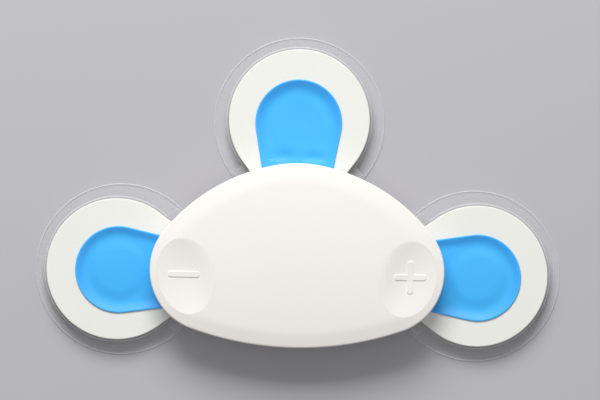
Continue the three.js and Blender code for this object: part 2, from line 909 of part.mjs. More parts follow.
function switchBody(side) {
  const half = SWITCH.size / 2;
  const body = block(
    [side * keyX - half, keyY - half, switchBase],
    [side * keyX + half, keyY + half, switchTop],
  );
  const radius = SWITCH.plungerRadius + SWITCH.sideGap;
  const bore = cylinder(
    radius, switchBoreFloor, switchTop + OVERRUN, SMALL_FACES, side * keyX, keyY,
  );
  return body.subtract(bore);
}

function switchPlunger(side) {
  return cylinder(
    SWITCH.plungerRadius, plungerBase, plungerTop, SMALL_FACES, side * keyX, keyY,
  );
}

function radioShield() {
  const low = boardTop + SEAT_GAP;
  const high = low + SHIELD.height;
  const halfLength = SHIELD.length / 2;
  const halfWidth = SHIELD.width / 2;
  const can = block(
    [SHIELD.x - halfLength, SHIELD.y - halfWidth, low],
    [SHIELD.x + halfLength, SHIELD.y + halfWidth, high],
  );
  const room = block(
    [SHIELD.x - halfLength + SHIELD.sheet, SHIELD.y - halfWidth + SHIELD.sheet, low - OVERRUN],
    [SHIELD.x + halfLength - SHIELD.sheet, SHIELD.y + halfWidth - SHIELD.sheet, high - SHIELD.sheet],
  );
  return can.subtract(room);
}

function frontEndChip() {
  const low = boardTop + SEAT_GAP;
  const half = CHIP.size / 2;
  const pieces = [block(
    [CHIP.x - half, CHIP.y - half, low],
    [CHIP.x + half, CHIP.y + half, low + CHIP.height],
  )];
  for (let k = 0; k < CHIP_LEADS_A_SIDE; k += 1) {
    const along = (k - (CHIP_LEADS_A_SIDE - 1) / 2) * CHIP.leadPitch;
    pieces.push(block(
      [CHIP.x - half - CHIP.leadReach, CHIP.y + along - CHIP.leadWidth / 2, low],
      [CHIP.x + half + CHIP.leadReach, CHIP.y + along + CHIP.leadWidth / 2, low + CHIP.leadThickness],
    ));
    pieces.push(block(
      [CHIP.x + along - CHIP.leadWidth / 2, CHIP.y - half - CHIP.leadReach, low],
      [CHIP.x + along + CHIP.leadWidth / 2, CHIP.y + half + CHIP.leadReach, low + CHIP.leadThickness],
    ));
  }
  return joined(pieces);
}

function coinCell() {
  const { radius, edgeRadius, capRadius } = CELL;
  const shoulder = cellTop - CELL.capHeight;
  return revolve([
    [0, cellBase],
    [radius - edgeRadius, cellBase],
    [radius, cellBase + edgeRadius],
    [radius, shoulder - edgeRadius],
    [radius - edgeRadius, shoulder],
    [capRadius, shoulder],
    [capRadius, cellTop - edgeRadius / 2],
    [capRadius - edgeRadius / 2, cellTop],
    [0, cellTop],
  ], ROUND_FACES);
}

// A blade beside the cell touches its rim and turns out under the board.
function batteryPlusContact() {
  const near = CELL.radius + SEAT_GAP;
  const top = BOARD.seatHeight - SEAT_GAP;
  const half = BLADE.width / 2;
  const blade = block(
    [-half, near, cellBase + CELL.height / 2 - BLADE.width / 4],
    [half, near + BLADE.sheet, top],
  );
  const foot = block(
    [-half, near, top - BLADE.sheet],
    [half, near + BLADE.footLength, top],
  );
  return blade.add(foot);
}

// A bent leaf under the board presses on the cap of the cell.
function batteryMinusContact() {
  const top = BOARD.seatHeight - SEAT_GAP - LEAF.sheet;
  const touch = cellTop + SEAT_GAP;
  const half = LEAF.length / 2;
  const run = LEAF_BEND_SHARES.map(([alongShare, riseShare]) => [
    half * alongShare, touch + (top - touch) * riseShare,
  ]);
  const shape = new THREE.Shape();
  run.forEach(([x, z], k) => (k === 0 ? shape.moveTo(x, z) : shape.lineTo(x, z)));
  run.slice().reverse().forEach(([x, z]) => shape.lineTo(x, z + LEAF.sheet));
  const options = { depth: LEAF.width, bevelEnabled: false };
  const geometry = new THREE.ExtrudeGeometry(shape, options);
  geometry.translate(0, 0, -LEAF.width / 2);
  geometry.rotateX(QUARTER_TURN);
  return solidOf(geometry);
}

function batteryDoor() {
  const low = BELLY.underside;
  const sealMiddle = low + SEAL.fromUnderside;
  const halfGroove = SEAL.grooveHeight / 2;
  const disc = revolve([
    [0, low],
    [DOOR.radius, low],
    [DOOR.radius, sealMiddle - halfGroove],
    [SEAL.grooveFloorRadius, sealMiddle - halfGroove],
    [SEAL.grooveFloorRadius, sealMiddle + halfGroove],
    [DOOR.radius, sealMiddle + halfGroove],
    [DOOR.radius, doorTop],
    [0, doorTop],
  ], ROUND_FACES);
  const lugs = DOOR_LUG_ANGLES.map((angle) => prism(
    sectorShape(DOOR.radius + DOOR.lugReach, angle, DOOR.lugHalfAngle),
    doorTop - DOOR.lugHeight,
    doorTop,
    SECTOR_FACES,
  ));
  const slot = block(
    [-DOOR.slotLength / 2, -DOOR.slotWidth / 2, low - OVERRUN],
    [DOOR.slotLength / 2, DOOR.slotWidth / 2, low + DOOR.slotDepth],
  );
  return joined([disc, ...lugs]).subtract(slot);
}

function ringSolid(ringRadius, sectionRadius, height, faces, sectionFaces) {
  const profile = [];
  for (let k = 0; k <= sectionFaces; k += 1) {
    const angle = (FULL_TURN * (k % sectionFaces)) / sectionFaces;
    profile.push([
      ringRadius + sectionRadius * Math.cos(angle),
      height + sectionRadius * Math.sin(angle),
    ]);
  }
  return revolve(profile, faces);
}

function doorSeal() {
  const height = BELLY.underside + SEAL.fromUnderside;
  return ringSolid(SEAL.ringRadius, SEAL.sectionRadius, height, ROUND_FACES, SEAL_SECTION_FACES);
}

function caseScrew(x, y) {
  const low = BELLY.underside + SCREW.headSink;
  const head = cylinder(SCREW.headRadius, low, low + SCREW.headHeight, SMALL_FACES, x, y);
  const shank = cylinder(SCREW.shankRadius, low + SCREW.headHeight / 2, SCREW.tipHeight, TINY_FACES, x, y);
  const halfLength = SCREW.slotLength / 2;
  const halfWidth = SCREW.slotWidth / 2;
  const across = block(
    [x - halfLength, y - halfWidth, low - OVERRUN],
    [x + halfLength, y + halfWidth, low + SCREW.slotDepth],
  );
  const along = block(
    [x - halfWidth, y - halfLength, low - OVERRUN],
    [x + halfWidth, y + halfLength, low + SCREW.slotDepth],
  );
  return head.add(shank).subtract(across.add(along));
}

// Snap sockets, drawn about their own axis.

const springHeight = studFlangeTop + STUD.neckLength * SPRING_UP_NECK_SHARE;

function snapSocket() {
  const shoulder = shelfTop + SEAT_GAP;
  const grooveLow = springHeight - SOCKET.grooveHeight / 2;
  const grooveHigh = springHeight + SOCKET.grooveHeight / 2;
  const boreTop = socketBase + SOCKET.boreDepth;
  return revolve([
    [0, boreTop],
    [SOCKET.boreRadius, boreTop],
    [SOCKET.boreRadius, grooveHigh],
    [SOCKET.grooveRadius, grooveHigh],
    [SOCKET.grooveRadius, grooveLow],
    [SOCKET.boreRadius, grooveLow],
    [SOCKET.boreRadius, socketBase + SOCKET.leadInDepth],
    [SOCKET.leadInRadius, socketBase],
    [SOCKET.radius, socketBase],
    [SOCKET.radius, shoulder],
    [SOCKET.flangeRadius, shoulder],
    [SOCKET.flangeRadius, shoulder + SOCKET.flangeThickness],
    [SOCKET.radius, shoulder + SOCKET.flangeThickness],
    [SOCKET.radius, socketTop],
    [0, socketTop],
  ], TINY_FACES);
}

function snapSpring() {
  return ringSolid(
    SOCKET.springRingRadius, SOCKET.springWire, springHeight, TINY_FACES, SPRING_SECTION_FACES,
  );
}

// A dished washer carries the signal from the socket up to the board.
function socketContact() {
  const low = socketTop + SEAT_GAP;
  const high = BOARD.seatHeight - SEAT_GAP;
  return revolve([
    [WASHER.innerRadius, high - WASHER.sheet],
    [WASHER.outerRadius, low],
    [WASHER.outerRadius, low + WASHER.sheet],
    [WASHER.innerRadius, high],
    [WASHER.innerRadius, high - WASHER.sheet],
  ], TINY_FACES);
}

// Electrode pad, drawn with its middle at the origin and the case on its +X side.

// Height of the film's dished face below its rim, as [radius, drop] pairs, out to past the stud.
const FILM_PROFILE = [
  ...FILM_BULGE_SHARES.map((share) => [
    FILM.valleyRadius * share,
    FILM.middleDepth + (FILM.valleyDepth - FILM.middleDepth) * share * share,
  ]),
  [FILM.valleyRadius, FILM.valleyDepth],
  [FILM.rimRadius, 0],
  [STUD.offset * 2, 0],
];

function shifted(solid, x) {
  return solid.translate([x, 0, 0]);
}

function filmPlan() {
  const { discRadius, shift, tabRadius, tabPastStud } = FILM;
  const plan = tabShape({ radius: discRadius, x: shift, tabRadius, tabPastStud });
  return prism(plan, foamBase, filmTop + OVERRUN);
}

// A sheet that follows the film's dish and tab, with its top face at a given rim height.
function filmSheet(top, thickness) {
  const upper = FILM_PROFILE.map(([radius, drop]) => [radius, top - drop]);
  const lower = FILM_PROFILE.map(([radius, drop]) => [radius, top - thickness - drop]).reverse();
  return shifted(revolve([...upper, ...lower]), FILM.shift).intersect(filmPlan());
}

// All the room above the underside of the film, lowered by a drop.
function roomUnderFilm(drop) {
  const high = filmTop + OVERRUN;
  const lower = FILM_PROFILE.map(([radius, depth]) => [radius, filmBase - depth - drop]);
  const above = revolve([...lower, [STUD.offset * 2, high], [0, high]]);
  return shifted(above, FILM.shift).intersect(filmPlan());
}

// Plan of the printed lead: a disc under the film's middle, a strip, and an eye round the rivet.
function leadPlan(grow) {
  const low = foamBase;
  const high = filmTop;
  const half = LEAD.width / 2 + grow;
  const disc = cylinder(LEAD.discRadius + grow, low, high, ROUND_FACES);
  const strip = block([0, -half, low], [STUD.offset, half, high]);
  const eye = cylinder(LEAD.endRadius + grow, low, high, SMALL_FACES, STUD.offset);
  return joined([disc, strip, eye]);
}

function rivetHole(radius, faces = TINY_FACES) {
  return cylinder(radius, foamBase - OVERRUN, filmTop + OVERRUN, faces, STUD.offset);
}

function foamPad() {
  const { radius, tabRadius, tabPastStud } = FOAM;
  const pad = prism(tabShape({ radius, x: 0, tabRadius, tabPastStud }), foamBase, foamTop);
  const gelHole = cylinder(FOAM.gelHoleRadius, foamBase - OVERRUN, foamTop + OVERRUN, ROUND_FACES);
  const groove = roomUnderFilm(LEAD.thickness + SEAT_GAP + LEAD.clearance).intersect(leadPlan(SEAT_GAP));
  const studHole = rivetHole(FOAM.studHoleRadius, SMALL_FACES);
  return pad.subtract(joined([gelHole, roomUnderFilm(SEAT_GAP), groove, studHole]));
}

function blueCover() {
  return filmSheet(filmTop, FILM.thickness).subtract(rivetHole(STUD.boreRadius));
}

function gelPad() {
  return cylinder(FOAM.gelHoleRadius - GEL.sideGap, foamBase, foamBase + GEL.thickness, ROUND_FACES);
}

function sensorLead() {
  const sheet = filmSheet(leadTop, LEAD.thickness).intersect(leadPlan(0));
  return sheet.subtract(rivetHole(STUD.boreRadius));
}

function snapStud() {
  const profile = [
    [0, studTop - STUD.boreRoof],
    [STUD.boreRadius, studTop - STUD.boreRoof],
    [STUD.boreRadius, studBase],
    [STUD.flangeRadius, studBase],
    [STUD.flangeRadius, studFlangeTop],
    [STUD.neckRadius, studFlangeTop],
    [STUD.neckRadius, studNeckTop],
  ];
  const halfHead = STUD.headHeight / 2;
  for (let step = 0; step <= STUD_HEAD_STEPS; step += 1) {
    const angle = (QUARTER_TURN * step) / STUD_HEAD_STEPS;
    const radius = step === STUD_HEAD_STEPS ? 0 : STUD.headRadius * Math.cos(angle);
    profile.push([radius, studNeckTop + halfHead + halfHead * Math.sin(angle)]);
  }
  return shifted(revolve(profile, TINY_FACES), STUD.offset);
}

function studEyelet() {
  const flangeTop = leadBase - SEAT_GAP;
  const postTop = studTop - STUD.boreRoof - SOFT_GAP;
  const profile = [
    [0, flangeTop - EYELET.flangeThickness],
    [EYELET.flangeRadius, flangeTop - EYELET.flangeThickness],
    [EYELET.flangeRadius, flangeTop],
    [EYELET.postRadius, flangeTop],
    [EYELET.postRadius, postTop],
    [0, postTop],
  ];
  return shifted(revolve(profile, TINY_FACES), STUD.offset);
}

// The raised part of the clear liner: a disc, and a wedge that runs on under the case.
function linerPlatform(shrink, low, high) {
  const disc = cylinder(LINER.ringRadius - shrink, low, high);
  const apex = shrink / Math.sin(WEDGE_HALF_ANGLE);
  const sector = shifted(
    prism(sectorShape(LINER.outerRadius * 2, 0, WEDGE_HALF_ANGLE), low, high, SECTOR_FACES), apex,
  );
  const rim = shifted(cylinder(LINER.outerRadius - shrink, low, high), LINER.shift);
  return disc.add(sector.intersect(rim));
}

function releaseLiner() {
  const flange = shifted(cylinder(LINER.outerRadius, 0, LINER.thickness), LINER.shift);
  const raised = linerPlatform(0, 0, LINER.platformHeight);
  const under = linerPlatform(LINER.thickness, -OVERRUN, LINER.platformHeight - LINER.thickness);
  return flange.add(raised).subtract(under);
}

// Materials.

function material(color, roughness, metalness, opacity = 1) {
  return new THREE.MeshStandardMaterial({
    color, roughness, metalness, opacity, transparent: opacity < 1,
  });
}

const MATERIALS = {
  whiteShell: material(0xf3f2ee, 0.5, 0),
  rubber: material(0x8d9194, 0.8, 0),
  blueFilm: material(0x3f9ff0, 0.35, 0),
  foam: material(0xe9ebe6, 0.9, 0),
  gel: material(0xd5e2e8, 0.2, 0, 0.6),
  clearSheet: material(0xdfe6ec, 0.12, 0, 0.28),
  nickel: material(0xc9c8c4, 0.28, 1),
  brass: material(0xc8a45a, 0.3, 1),
  silverInk: material(0xa9abad, 0.5, 0.6),
  board: material(0x1f6b46, 0.5, 0),
  chip: material(0x26282b, 0.5, 0),
  screwSteel: material(0x9a9da1, 0.35, 1),
  cellSteel: material(0xcfd2d4, 0.22, 1),
};

function named(name, solid, finish) {
  const mesh = new THREE.Mesh(geometryOf(solid), finish);
  mesh.name = name;
  return mesh;
}

// Assembly.

function caseGroup() {
  const group = new THREE.Group();
  group.add(named("top_cover", topCover(), MATERIALS.whiteShell));
  group.add(named("bottom_cover", bottomCover(), MATERIALS.whiteShell));
  group.add(named("case_gasket", caseGasket(), MATERIALS.rubber));
  for (const [name, side] of [["minus", -1], ["plus", 1]]) {
    group.add(named(`${name}_key`, keySolid(side), MATERIALS.whiteShell));
    group.add(named(`${name}_switch`, switchBody(side), MATERIALS.chip));
    group.add(named(`${name}_switch_plunger`, switchPlunger(side), MATERIALS.nickel));
  }
  screwPlaces().forEach(({ x, y }, k) => {
    group.add(named(`case_screw_${k + 1}`, caseScrew(x, y), MATERIALS.screwSteel));
  });
  return group;
}

function insideGroup() {
  const group = new THREE.Group();
  group.add(named("circuit_board", circuitBoard(), MATERIALS.board));
  group.add(named("radio_shield", radioShield(), MATERIALS.nickel));
  group.add(named("front_end_chip", frontEndChip(), MATERIALS.chip));
  group.add(named("coin_cell", coinCell(), MATERIALS.cellSteel));
  group.add(named("battery_plus_contact", batteryPlusContact(), MATERIALS.brass));
  group.add(named("battery_minus_contact", batteryMinusContact(), MATERIALS.brass));
  group.add(named("battery_door", batteryDoor(), MATERIALS.whiteShell));
  group.add(named("door_seal", doorSeal(), MATERIALS.rubber));
  return group;
}

function socketGroup(pad) {
  const group = new THREE.Group();
  const { x, y } = studPlace(pad);
  group.position.set(x, y, 0);
  group.add(named(`${pad.name}_snap_socket`, snapSocket(), MATERIALS.nickel));
  group.add(named(`${pad.name}_snap_spring`, snapSpring(), MATERIALS.screwSteel));
  group.add(named(`${pad.name}_socket_contact`, socketContact(), MATERIALS.brass));
  return group;
}

function electrodeGroup(pad) {
  const group = new THREE.Group();
  group.position.set(pad.x, pad.y, 0);
  group.rotation.z = pad.turn;
  group.add(named(`${pad.name}_foam_pad`, foamPad(), MATERIALS.foam));
  group.add(named(`${pad.name}_blue_cover`, blueCover(), MATERIALS.blueFilm));
  group.add(named(`${pad.name}_gel_pad`, gelPad(), MATERIALS.gel));
  group.add(named(`${pad.name}_sensor_lead`, sensorLead(), MATERIALS.silverInk));
  group.add(named(`${pad.name}_snap_stud`, snapStud(), MATERIALS.nickel));
  group.add(named(`${pad.name}_stud_eyelet`, studEyelet(), MATERIALS.nickel));
  group.add(named(`${pad.name}_release_liner`, releaseLiner(), MATERIALS.clearSheet));
  return group;
}

// The liners reach furthest on every side, so they set the middle of the footprint.
function footprintMiddleY() {
  const low = -SIDE_PAD_BELOW_MIDDLE - LINER.outerRadius;
  const topPad = PADS.find(({ name }) => name === "top");
  const high = topPad.y - LINER.shift + LINER.outerRadius;
  return (low + high) / 2;
}

const monitor = new THREE.Group();
monitor.position.y = -footprintMiddleY();
monitor.add(caseGroup(), insideGroup());
for (const pad of PADS) {
  monitor.add(socketGroup(pad), electrodeGroup(pad));
}

export default monitor;
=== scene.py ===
"""Looks of a home heart monitor: an egg-shaped case with two thumb keys and three snap-on pads.

Sizes in the classes are in millimetres and angles in radians, unless a name says otherwise.
"""

import enum
import json
import logging
import math
from collections.abc import Callable
from dataclasses import dataclass, field
from typing import ClassVar

import bmesh
import bpy
from mathutils import Matrix, Vector

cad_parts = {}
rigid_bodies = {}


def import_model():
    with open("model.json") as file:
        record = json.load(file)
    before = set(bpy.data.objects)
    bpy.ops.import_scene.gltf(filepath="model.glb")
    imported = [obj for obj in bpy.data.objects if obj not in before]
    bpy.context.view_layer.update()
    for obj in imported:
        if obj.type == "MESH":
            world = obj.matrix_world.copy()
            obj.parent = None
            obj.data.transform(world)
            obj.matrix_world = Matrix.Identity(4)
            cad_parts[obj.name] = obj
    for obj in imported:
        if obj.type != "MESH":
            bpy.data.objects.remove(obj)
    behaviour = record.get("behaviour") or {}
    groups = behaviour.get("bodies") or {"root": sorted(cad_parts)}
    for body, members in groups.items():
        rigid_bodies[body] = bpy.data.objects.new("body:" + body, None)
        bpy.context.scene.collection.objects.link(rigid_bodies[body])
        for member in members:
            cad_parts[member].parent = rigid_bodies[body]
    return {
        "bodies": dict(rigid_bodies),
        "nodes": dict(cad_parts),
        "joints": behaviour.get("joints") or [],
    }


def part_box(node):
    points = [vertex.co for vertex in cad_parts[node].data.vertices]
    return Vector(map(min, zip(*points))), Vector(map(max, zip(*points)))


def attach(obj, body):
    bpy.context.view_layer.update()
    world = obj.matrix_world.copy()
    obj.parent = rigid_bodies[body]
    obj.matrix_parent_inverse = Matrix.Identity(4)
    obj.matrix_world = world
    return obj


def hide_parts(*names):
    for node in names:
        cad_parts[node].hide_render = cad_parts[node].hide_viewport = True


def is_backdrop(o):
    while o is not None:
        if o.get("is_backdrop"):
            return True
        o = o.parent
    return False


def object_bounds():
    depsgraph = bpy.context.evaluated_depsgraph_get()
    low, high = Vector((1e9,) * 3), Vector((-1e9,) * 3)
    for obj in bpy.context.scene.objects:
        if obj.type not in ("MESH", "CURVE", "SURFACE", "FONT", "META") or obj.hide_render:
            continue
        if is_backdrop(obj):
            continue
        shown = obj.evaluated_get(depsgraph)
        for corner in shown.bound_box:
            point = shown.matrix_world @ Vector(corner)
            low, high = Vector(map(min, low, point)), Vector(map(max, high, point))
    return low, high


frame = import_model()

MM = 0.001
MERGE_DISTANCE = 1e-7
FULL_TURN = 2 * math.pi
QUARTER_TURN = math.pi / 2
SHARP_ANGLE = math.radians(34)
SOFT_ANGLE = math.radians(40)
SOFTER_ANGLE = math.radians(50)
ROUND_ANGLE = math.radians(80)
NOISE = "ShaderNodeTexNoise"
MIX_START, MIX_END, MIX_RESULT = 6, 7, 2  # Places of the colour sockets of a mixing node.
WAVE_PITCH = 0.314  # Metres from band to band of a wave texture whose scale is 1.

Ring = list[Vector]
Profile = list[tuple[float, float]]
Colour = tuple[float, ...]
Mesh = bmesh.types.BMesh
Piece = bpy.types.Object
Node = bpy.types.Node
NodeTree = bpy.types.NodeTree
Socket = bpy.types.NodeSocket
Feeds = dict[str | int, object]
Reliefs = tuple[Socket, Socket]

log = logging.getLogger("heart_monitor")


def srgb(red: float, green: float, blue: float) -> Colour:
    """Returns the linear colour of three screen channels, which go from 0 to 255."""
    shares = (channel / 255 for channel in (red, green, blue))
    return (*(s / 12.92 if s <= 0.04045 else ((s + 0.055) / 1.055) ** 2.4 for s in shares), 1.0)


def ease(share: float) -> float:
    """Returns a share from 0 to 1 that starts and ends gently."""
    held = min(max(share, 0.0), 1.0)
    return held * held * (3 - 2 * held)


def mix(start: float, end: float, share: float) -> float:
    """Returns the value at a share of the way from start to end."""
    return start + (end - start) * share


def steps_between(start: float, end: float, count: int) -> list[float]:
    """Returns count + 1 evenly spaced values from start to end."""
    return [mix(start, end, k / count) for k in range(count + 1)]


def around(count: int) -> list[float]:
    """Returns evenly spaced directions round a full turn."""
    return [FULL_TURN * k / count for k in range(count)]


def quarter_round(radius: float, steps: int) -> Profile:
    """Returns a quarter round as pairs: how far it has still to go out, and how far it has come up."""
    angles = steps_between(0, QUARTER_TURN, steps)
    return [(radius * (1 - math.sin(angle)), radius * (1 - math.cos(angle))) for angle in angles]


# Meshes.


def grid_over(rows: list[Ring]) -> Mesh:
    """Lays a grid over points.

    Args:
        rows: rows of equally many points, in metres.

    Returns:
        The mesh, with points that lie on each other merged and its faces turned the same way.
    """
    across = len(rows[0])
    mesh = bmesh.new()
    bmesh.ops.create_grid(mesh, x_segments=across - 1, y_segments=len(rows) - 1, size=1.0)
    mesh.verts.ensure_lookup_table()
    for row, points in enumerate(rows):
        for column, point in enumerate(points):
            mesh.verts[row * across + column].co = point
    close_up(mesh)
    return mesh


def laid_over(rings: list[Ring], closed: bool = False) -> Mesh:
    """Lays a grid over rings of points and closes it round.

    Args:
        rings: rings of equally many points. A ring with all its points in one place is a pole.
        closed: whether the last ring joins the first one.

    Returns:
        The mesh, with its seam and poles merged and its faces pointing out.
    """
    rows = [*rings, rings[0]] if closed else rings
    return grid_over([[*ring, ring[0]] for ring in rows])


def close_up(mesh: Mesh) -> None:
    """Merges points that lie on each other and turns the faces outwards."""
    bmesh.ops.remove_doubles(mesh, verts=mesh.verts, dist=MERGE_DISTANCE)
    bmesh.ops.recalc_face_normals(mesh, faces=mesh.faces)


def revolved(profile: Profile, centre: Vector, steps: int) -> Mesh:
    """Spins a closed profile about an upright axis.

    Args:
        profile: radius and height of each corner in millimetres, in order.
        centre: a point of the axis, in metres.
        steps: how many faces go round.

    Returns:
        The turned mesh.
    """
    mesh = bmesh.new()
    corners = [
        mesh.verts.new((centre.x + radius * MM, centre.y, height * MM)) for radius, height in profile
    ]
    edges = [
        mesh.edges.new((corner, corners[(k + 1) % len(corners)]))
        for k, corner in enumerate(corners)
        if max(profile[k][0], profile[(k + 1) % len(corners)][0]) > 0
    ]
    bmesh.ops.spin(
        mesh, geom=[*corners, *edges], cent=(centre.x, centre.y, 0), axis=(0, 0, 1),
        angle=FULL_TURN, steps=steps, use_merge=True, use_duplicate=False,
    )
    close_up(mesh)
    return mesh


def rounded_profile(corners: list[tuple[float, float, float]], steps: int = 4) -> Profile:
    """Rounds the corners of a profile.

    Args:
        corners: radius, height and rounding of each corner.
        steps: how many faces a rounded corner has.

    Returns:
        The profile as radius and height pairs.
    """
    profile: Profile = []
    for k, (radius, height, rounding) in enumerate(corners):
        here = Vector((radius, height))
        if rounding == 0:
            profile.append((radius, height))
            continue
        before = Vector(corners[k - 1][:2]) - here
        after = Vector(corners[(k + 1) % len(corners)][:2]) - here
        start = here + before.normalized() * rounding
        end = here + after.normalized() * rounding
        for share in steps_between(0, 1, steps):
            point = start.lerp(here, share).lerp(here.lerp(end, share), share)
            profile.append((point.x, point.y))
    return profile


def block(low: Vector, high: Vector, turn: float = 0.0) -> Mesh:
    """Makes a plain block to cut with.

    Args:
        low, high: its lowest and highest corner, in metres.
        turn: its turn about its own upright axis.

    Returns:
        The block's mesh.
    """
    stretch = Matrix.Diagonal((*(high - low), 1))
    placed = Matrix.Translation((low + high) / 2) @ Matrix.Rotation(turn, 4, "Z") @ stretch
    mesh = bmesh.new()
    bmesh.ops.create_cube(mesh, size=1.0, matrix=placed)
    return mesh


def post(centre: Vector, radius: float, low: float, high: float, steps: int) -> Mesh:
    """Returns a plain round post to cut with."""
    return revolved([(0, low), (radius, low), (radius, high), (0, high)], centre, steps)


def extrude(mesh: Mesh, rise: float) -> None:
    """Draws the faces of a flat mesh upwards, in the mesh's own unit."""
    made = bmesh.ops.extrude_face_region(mesh, geom=mesh.faces[:])
    moved = [item for item in made["geom"] if isinstance(item, bmesh.types.BMVert)]
    bmesh.ops.translate(mesh, verts=moved, vec=(0, 0, rise))


def gathered(meshes: list[Mesh], first: bpy.types.Mesh | None = None) -> Mesh:
    """Puts meshes side by side into one.

    Args:
        meshes: the meshes, which are freed.
        first: a finished mesh to put before them.

    Returns:
        The one mesh.
    """
    together = bmesh.new()
    if first:
        together.from_mesh(first)
    for mesh in meshes:
        data = bpy.data.meshes.new("gathered")
        mesh.to_mesh(data)
        mesh.free()
        together.from_mesh(data)
        bpy.data.meshes.remove(data)
    return together


def new_object(mesh: Mesh, name: str) -> Piece:
    """Puts a mesh into the scene as an object at the origin.

    Args:
        mesh: the mesh, which is freed.
        name: the object's name.

    Returns:
        The object.
    """
    data = bpy.data.meshes.new(name)
    mesh.to_mesh(data)
    mesh.free()
    piece = bpy.data.objects.new(name, data)
    bpy.context.scene.collection.objects.link(piece)
    return piece


def applied(piece: Piece) -> None:
    """Makes the result of a piece's modifiers its mesh."""
    depsgraph = bpy.context.evaluated_depsgraph_get()
    depsgraph.update()
    result = bpy.data.meshes.new_from_object(piece.evaluated_get(depsgraph))
    piece.modifiers.clear()
    piece.data = result


def carve(piece: Piece, cutters: list[Mesh]) -> None:
    """Cuts shapes out of a piece.

    Args:
        piece: the piece to cut.
        cutters: closed meshes that don't touch each other. They are freed.
    """
    tool = new_object(gathered(cutters), "cutter")
    cut = piece.modifiers.new("cut", "BOOLEAN")
    cut.operation, cut.solver, cut.object = "DIFFERENCE", "EXACT", tool
    applied(piece)
    bpy.data.objects.remove(tool)


def thickened(mesh: Mesh, name: str, thickness: float) -> Piece:
    """Makes a piece of an open sheet, with its thickness below the sheet.

    Args:
        mesh: the sheet, which is freed.
        name: the piece's name.
        thickness: how thick it is.

    Returns:
        The piece.
    """
    if sum(face.normal.z for face in mesh.faces) < 0:
        bmesh.ops.reverse_faces(mesh, faces=mesh.faces)
    piece = new_object(mesh, name)
    wall = piece.modifiers.new("wall", "SOLIDIFY")
    wall.thickness, wall.offset = thickness * MM, -1
    applied(piece)
    return piece


def finish_piece(
    piece: Piece, body: str, finish: "Finish", stands_for: str = "",
    sharp: float = SHARP_ANGLE, even: bool = False,
) -> None:
    """Gives a piece its smooth shading, its material and its body.

    Args:
        piece: the piece, at the origin.
        body: the moving body that it belongs to.
        finish: its finish.
        stands_for: the plain node that it replaces, if there is one.
        sharp: the angle past which an edge stays crisp.
        even: whether large flat faces keep flat shading next to small curved ones.
    """
    piece.data.shade_smooth()
    piece.data.set_sharp_from_angle(angle=sharp)
    if even:
        weights = piece.modifiers.new("even", "WEIGHTED_NORMAL")
        weights.keep_sharp, weights.mode = True, "FACE_AREA"
    piece.data.materials.clear()
    piece.data.materials.append(finish.material())
    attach(piece, body)
    if stands_for:
        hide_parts(stands_for)
    log.info("%s: %d faces on %s", piece.name, len(piece.data.polygons), body)


def joint_place(name: str) -> Vector:
    """Returns the place of a joint at rest, in metres."""
    return next(Vector(joint["pos_m"]) for joint in frame["joints"] if joint["name"] == name)


def levels(node: str) -> tuple[float, float]:
    """Returns the heights of the underside and the top of a plain node."""
    low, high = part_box(node)
    return low.z / MM, high.z / MM


# Finishes.


def feed(tree: NodeTree, source: object, target: Socket) -> None:
    """Links an output to an input, or sets the input to a plain value."""
    if isinstance(source, Socket):
        tree.links.new(source, target)
    else:
        target.default_value = source


def add_node(tree: NodeTree, kind: str, feeds: Feeds | None = None, **settings: object) -> Node:
    """Adds a node to a tree.

    Args:
        tree: the node tree.
        kind: the node's type.
        feeds: what its inputs get, by name or place: an output to follow or a plain value.
        settings: its properties by name.

    Returns:
        The node.
    """
    made = tree.nodes.new(kind)
    for name, value in settings.items():
        setattr(made, name, value)
    for name, source in (feeds or {}).items():
        feed(tree, source, made.inputs[name])
    return made


def wire_grain(tree: NodeTree, taken: Node) -> Reliefs:
    """Lays a fine noise for the grain of moulded plastic, and a broad one for its slow unevenness.

    Args:
        tree: the effect's node group.
        taken: its input node.

    Returns:
        The height and the patch.
    """
    place, grain, patch = taken.outputs[:3]
    fine = add_node(tree, NOISE, {"Vector": place, "Scale": grain, "Detail": 3})
    broad = add_node(tree, NOISE, {"Vector": place, "Scale": patch, "Detail": 2})
    return fine.outputs["Fac"], broad.outputs["Fac"]


def wire_streaks(tree: NodeTree, taken: Node) -> Reliefs:
    """Stretches a noise into the fine streaks that drawing leaves on metal, and adds a faint stain.

    Args:
        tree: the effect's node group.
        taken: its input node.

    Returns:
        The height and the patch.
    """
    place, scale = taken.outputs[:2]
    stretch = add_node(tree, "ShaderNodeMapping", {"Vector": place, "Scale": (0.06, 1, 1)})
    streaks = add_node(tree, NOISE, {"Vector": stretch.outputs["Vector"], "Scale": scale, "Detail": 4})
    stain = add_node(tree, NOISE, {"Vector": place, "Scale": 260})
    return streaks.outputs["Fac"], stain.outputs["Fac"]


def wire_cells(tree: NodeTree, taken: Node) -> Reliefs:
    """Rounds off the cells of foam or the tiny bubbles of gel, and adds a slow unevenness.

    Args:
        tree: the effect's node group.
        taken: its input node.

    Returns:
        The height and the patch.
    """
    place, scale = taken.outputs[:2]
    rounded = {"Vector": place, "Scale": scale, "Smoothness": 0.6}
    cells = add_node(tree, "ShaderNodeTexVoronoi", rounded, feature="SMOOTH_F1")
    broad = add_node(tree, NOISE, {"Vector": place, "Scale": 90})
    return cells.outputs["Distance"], broad.outputs["Fac"]


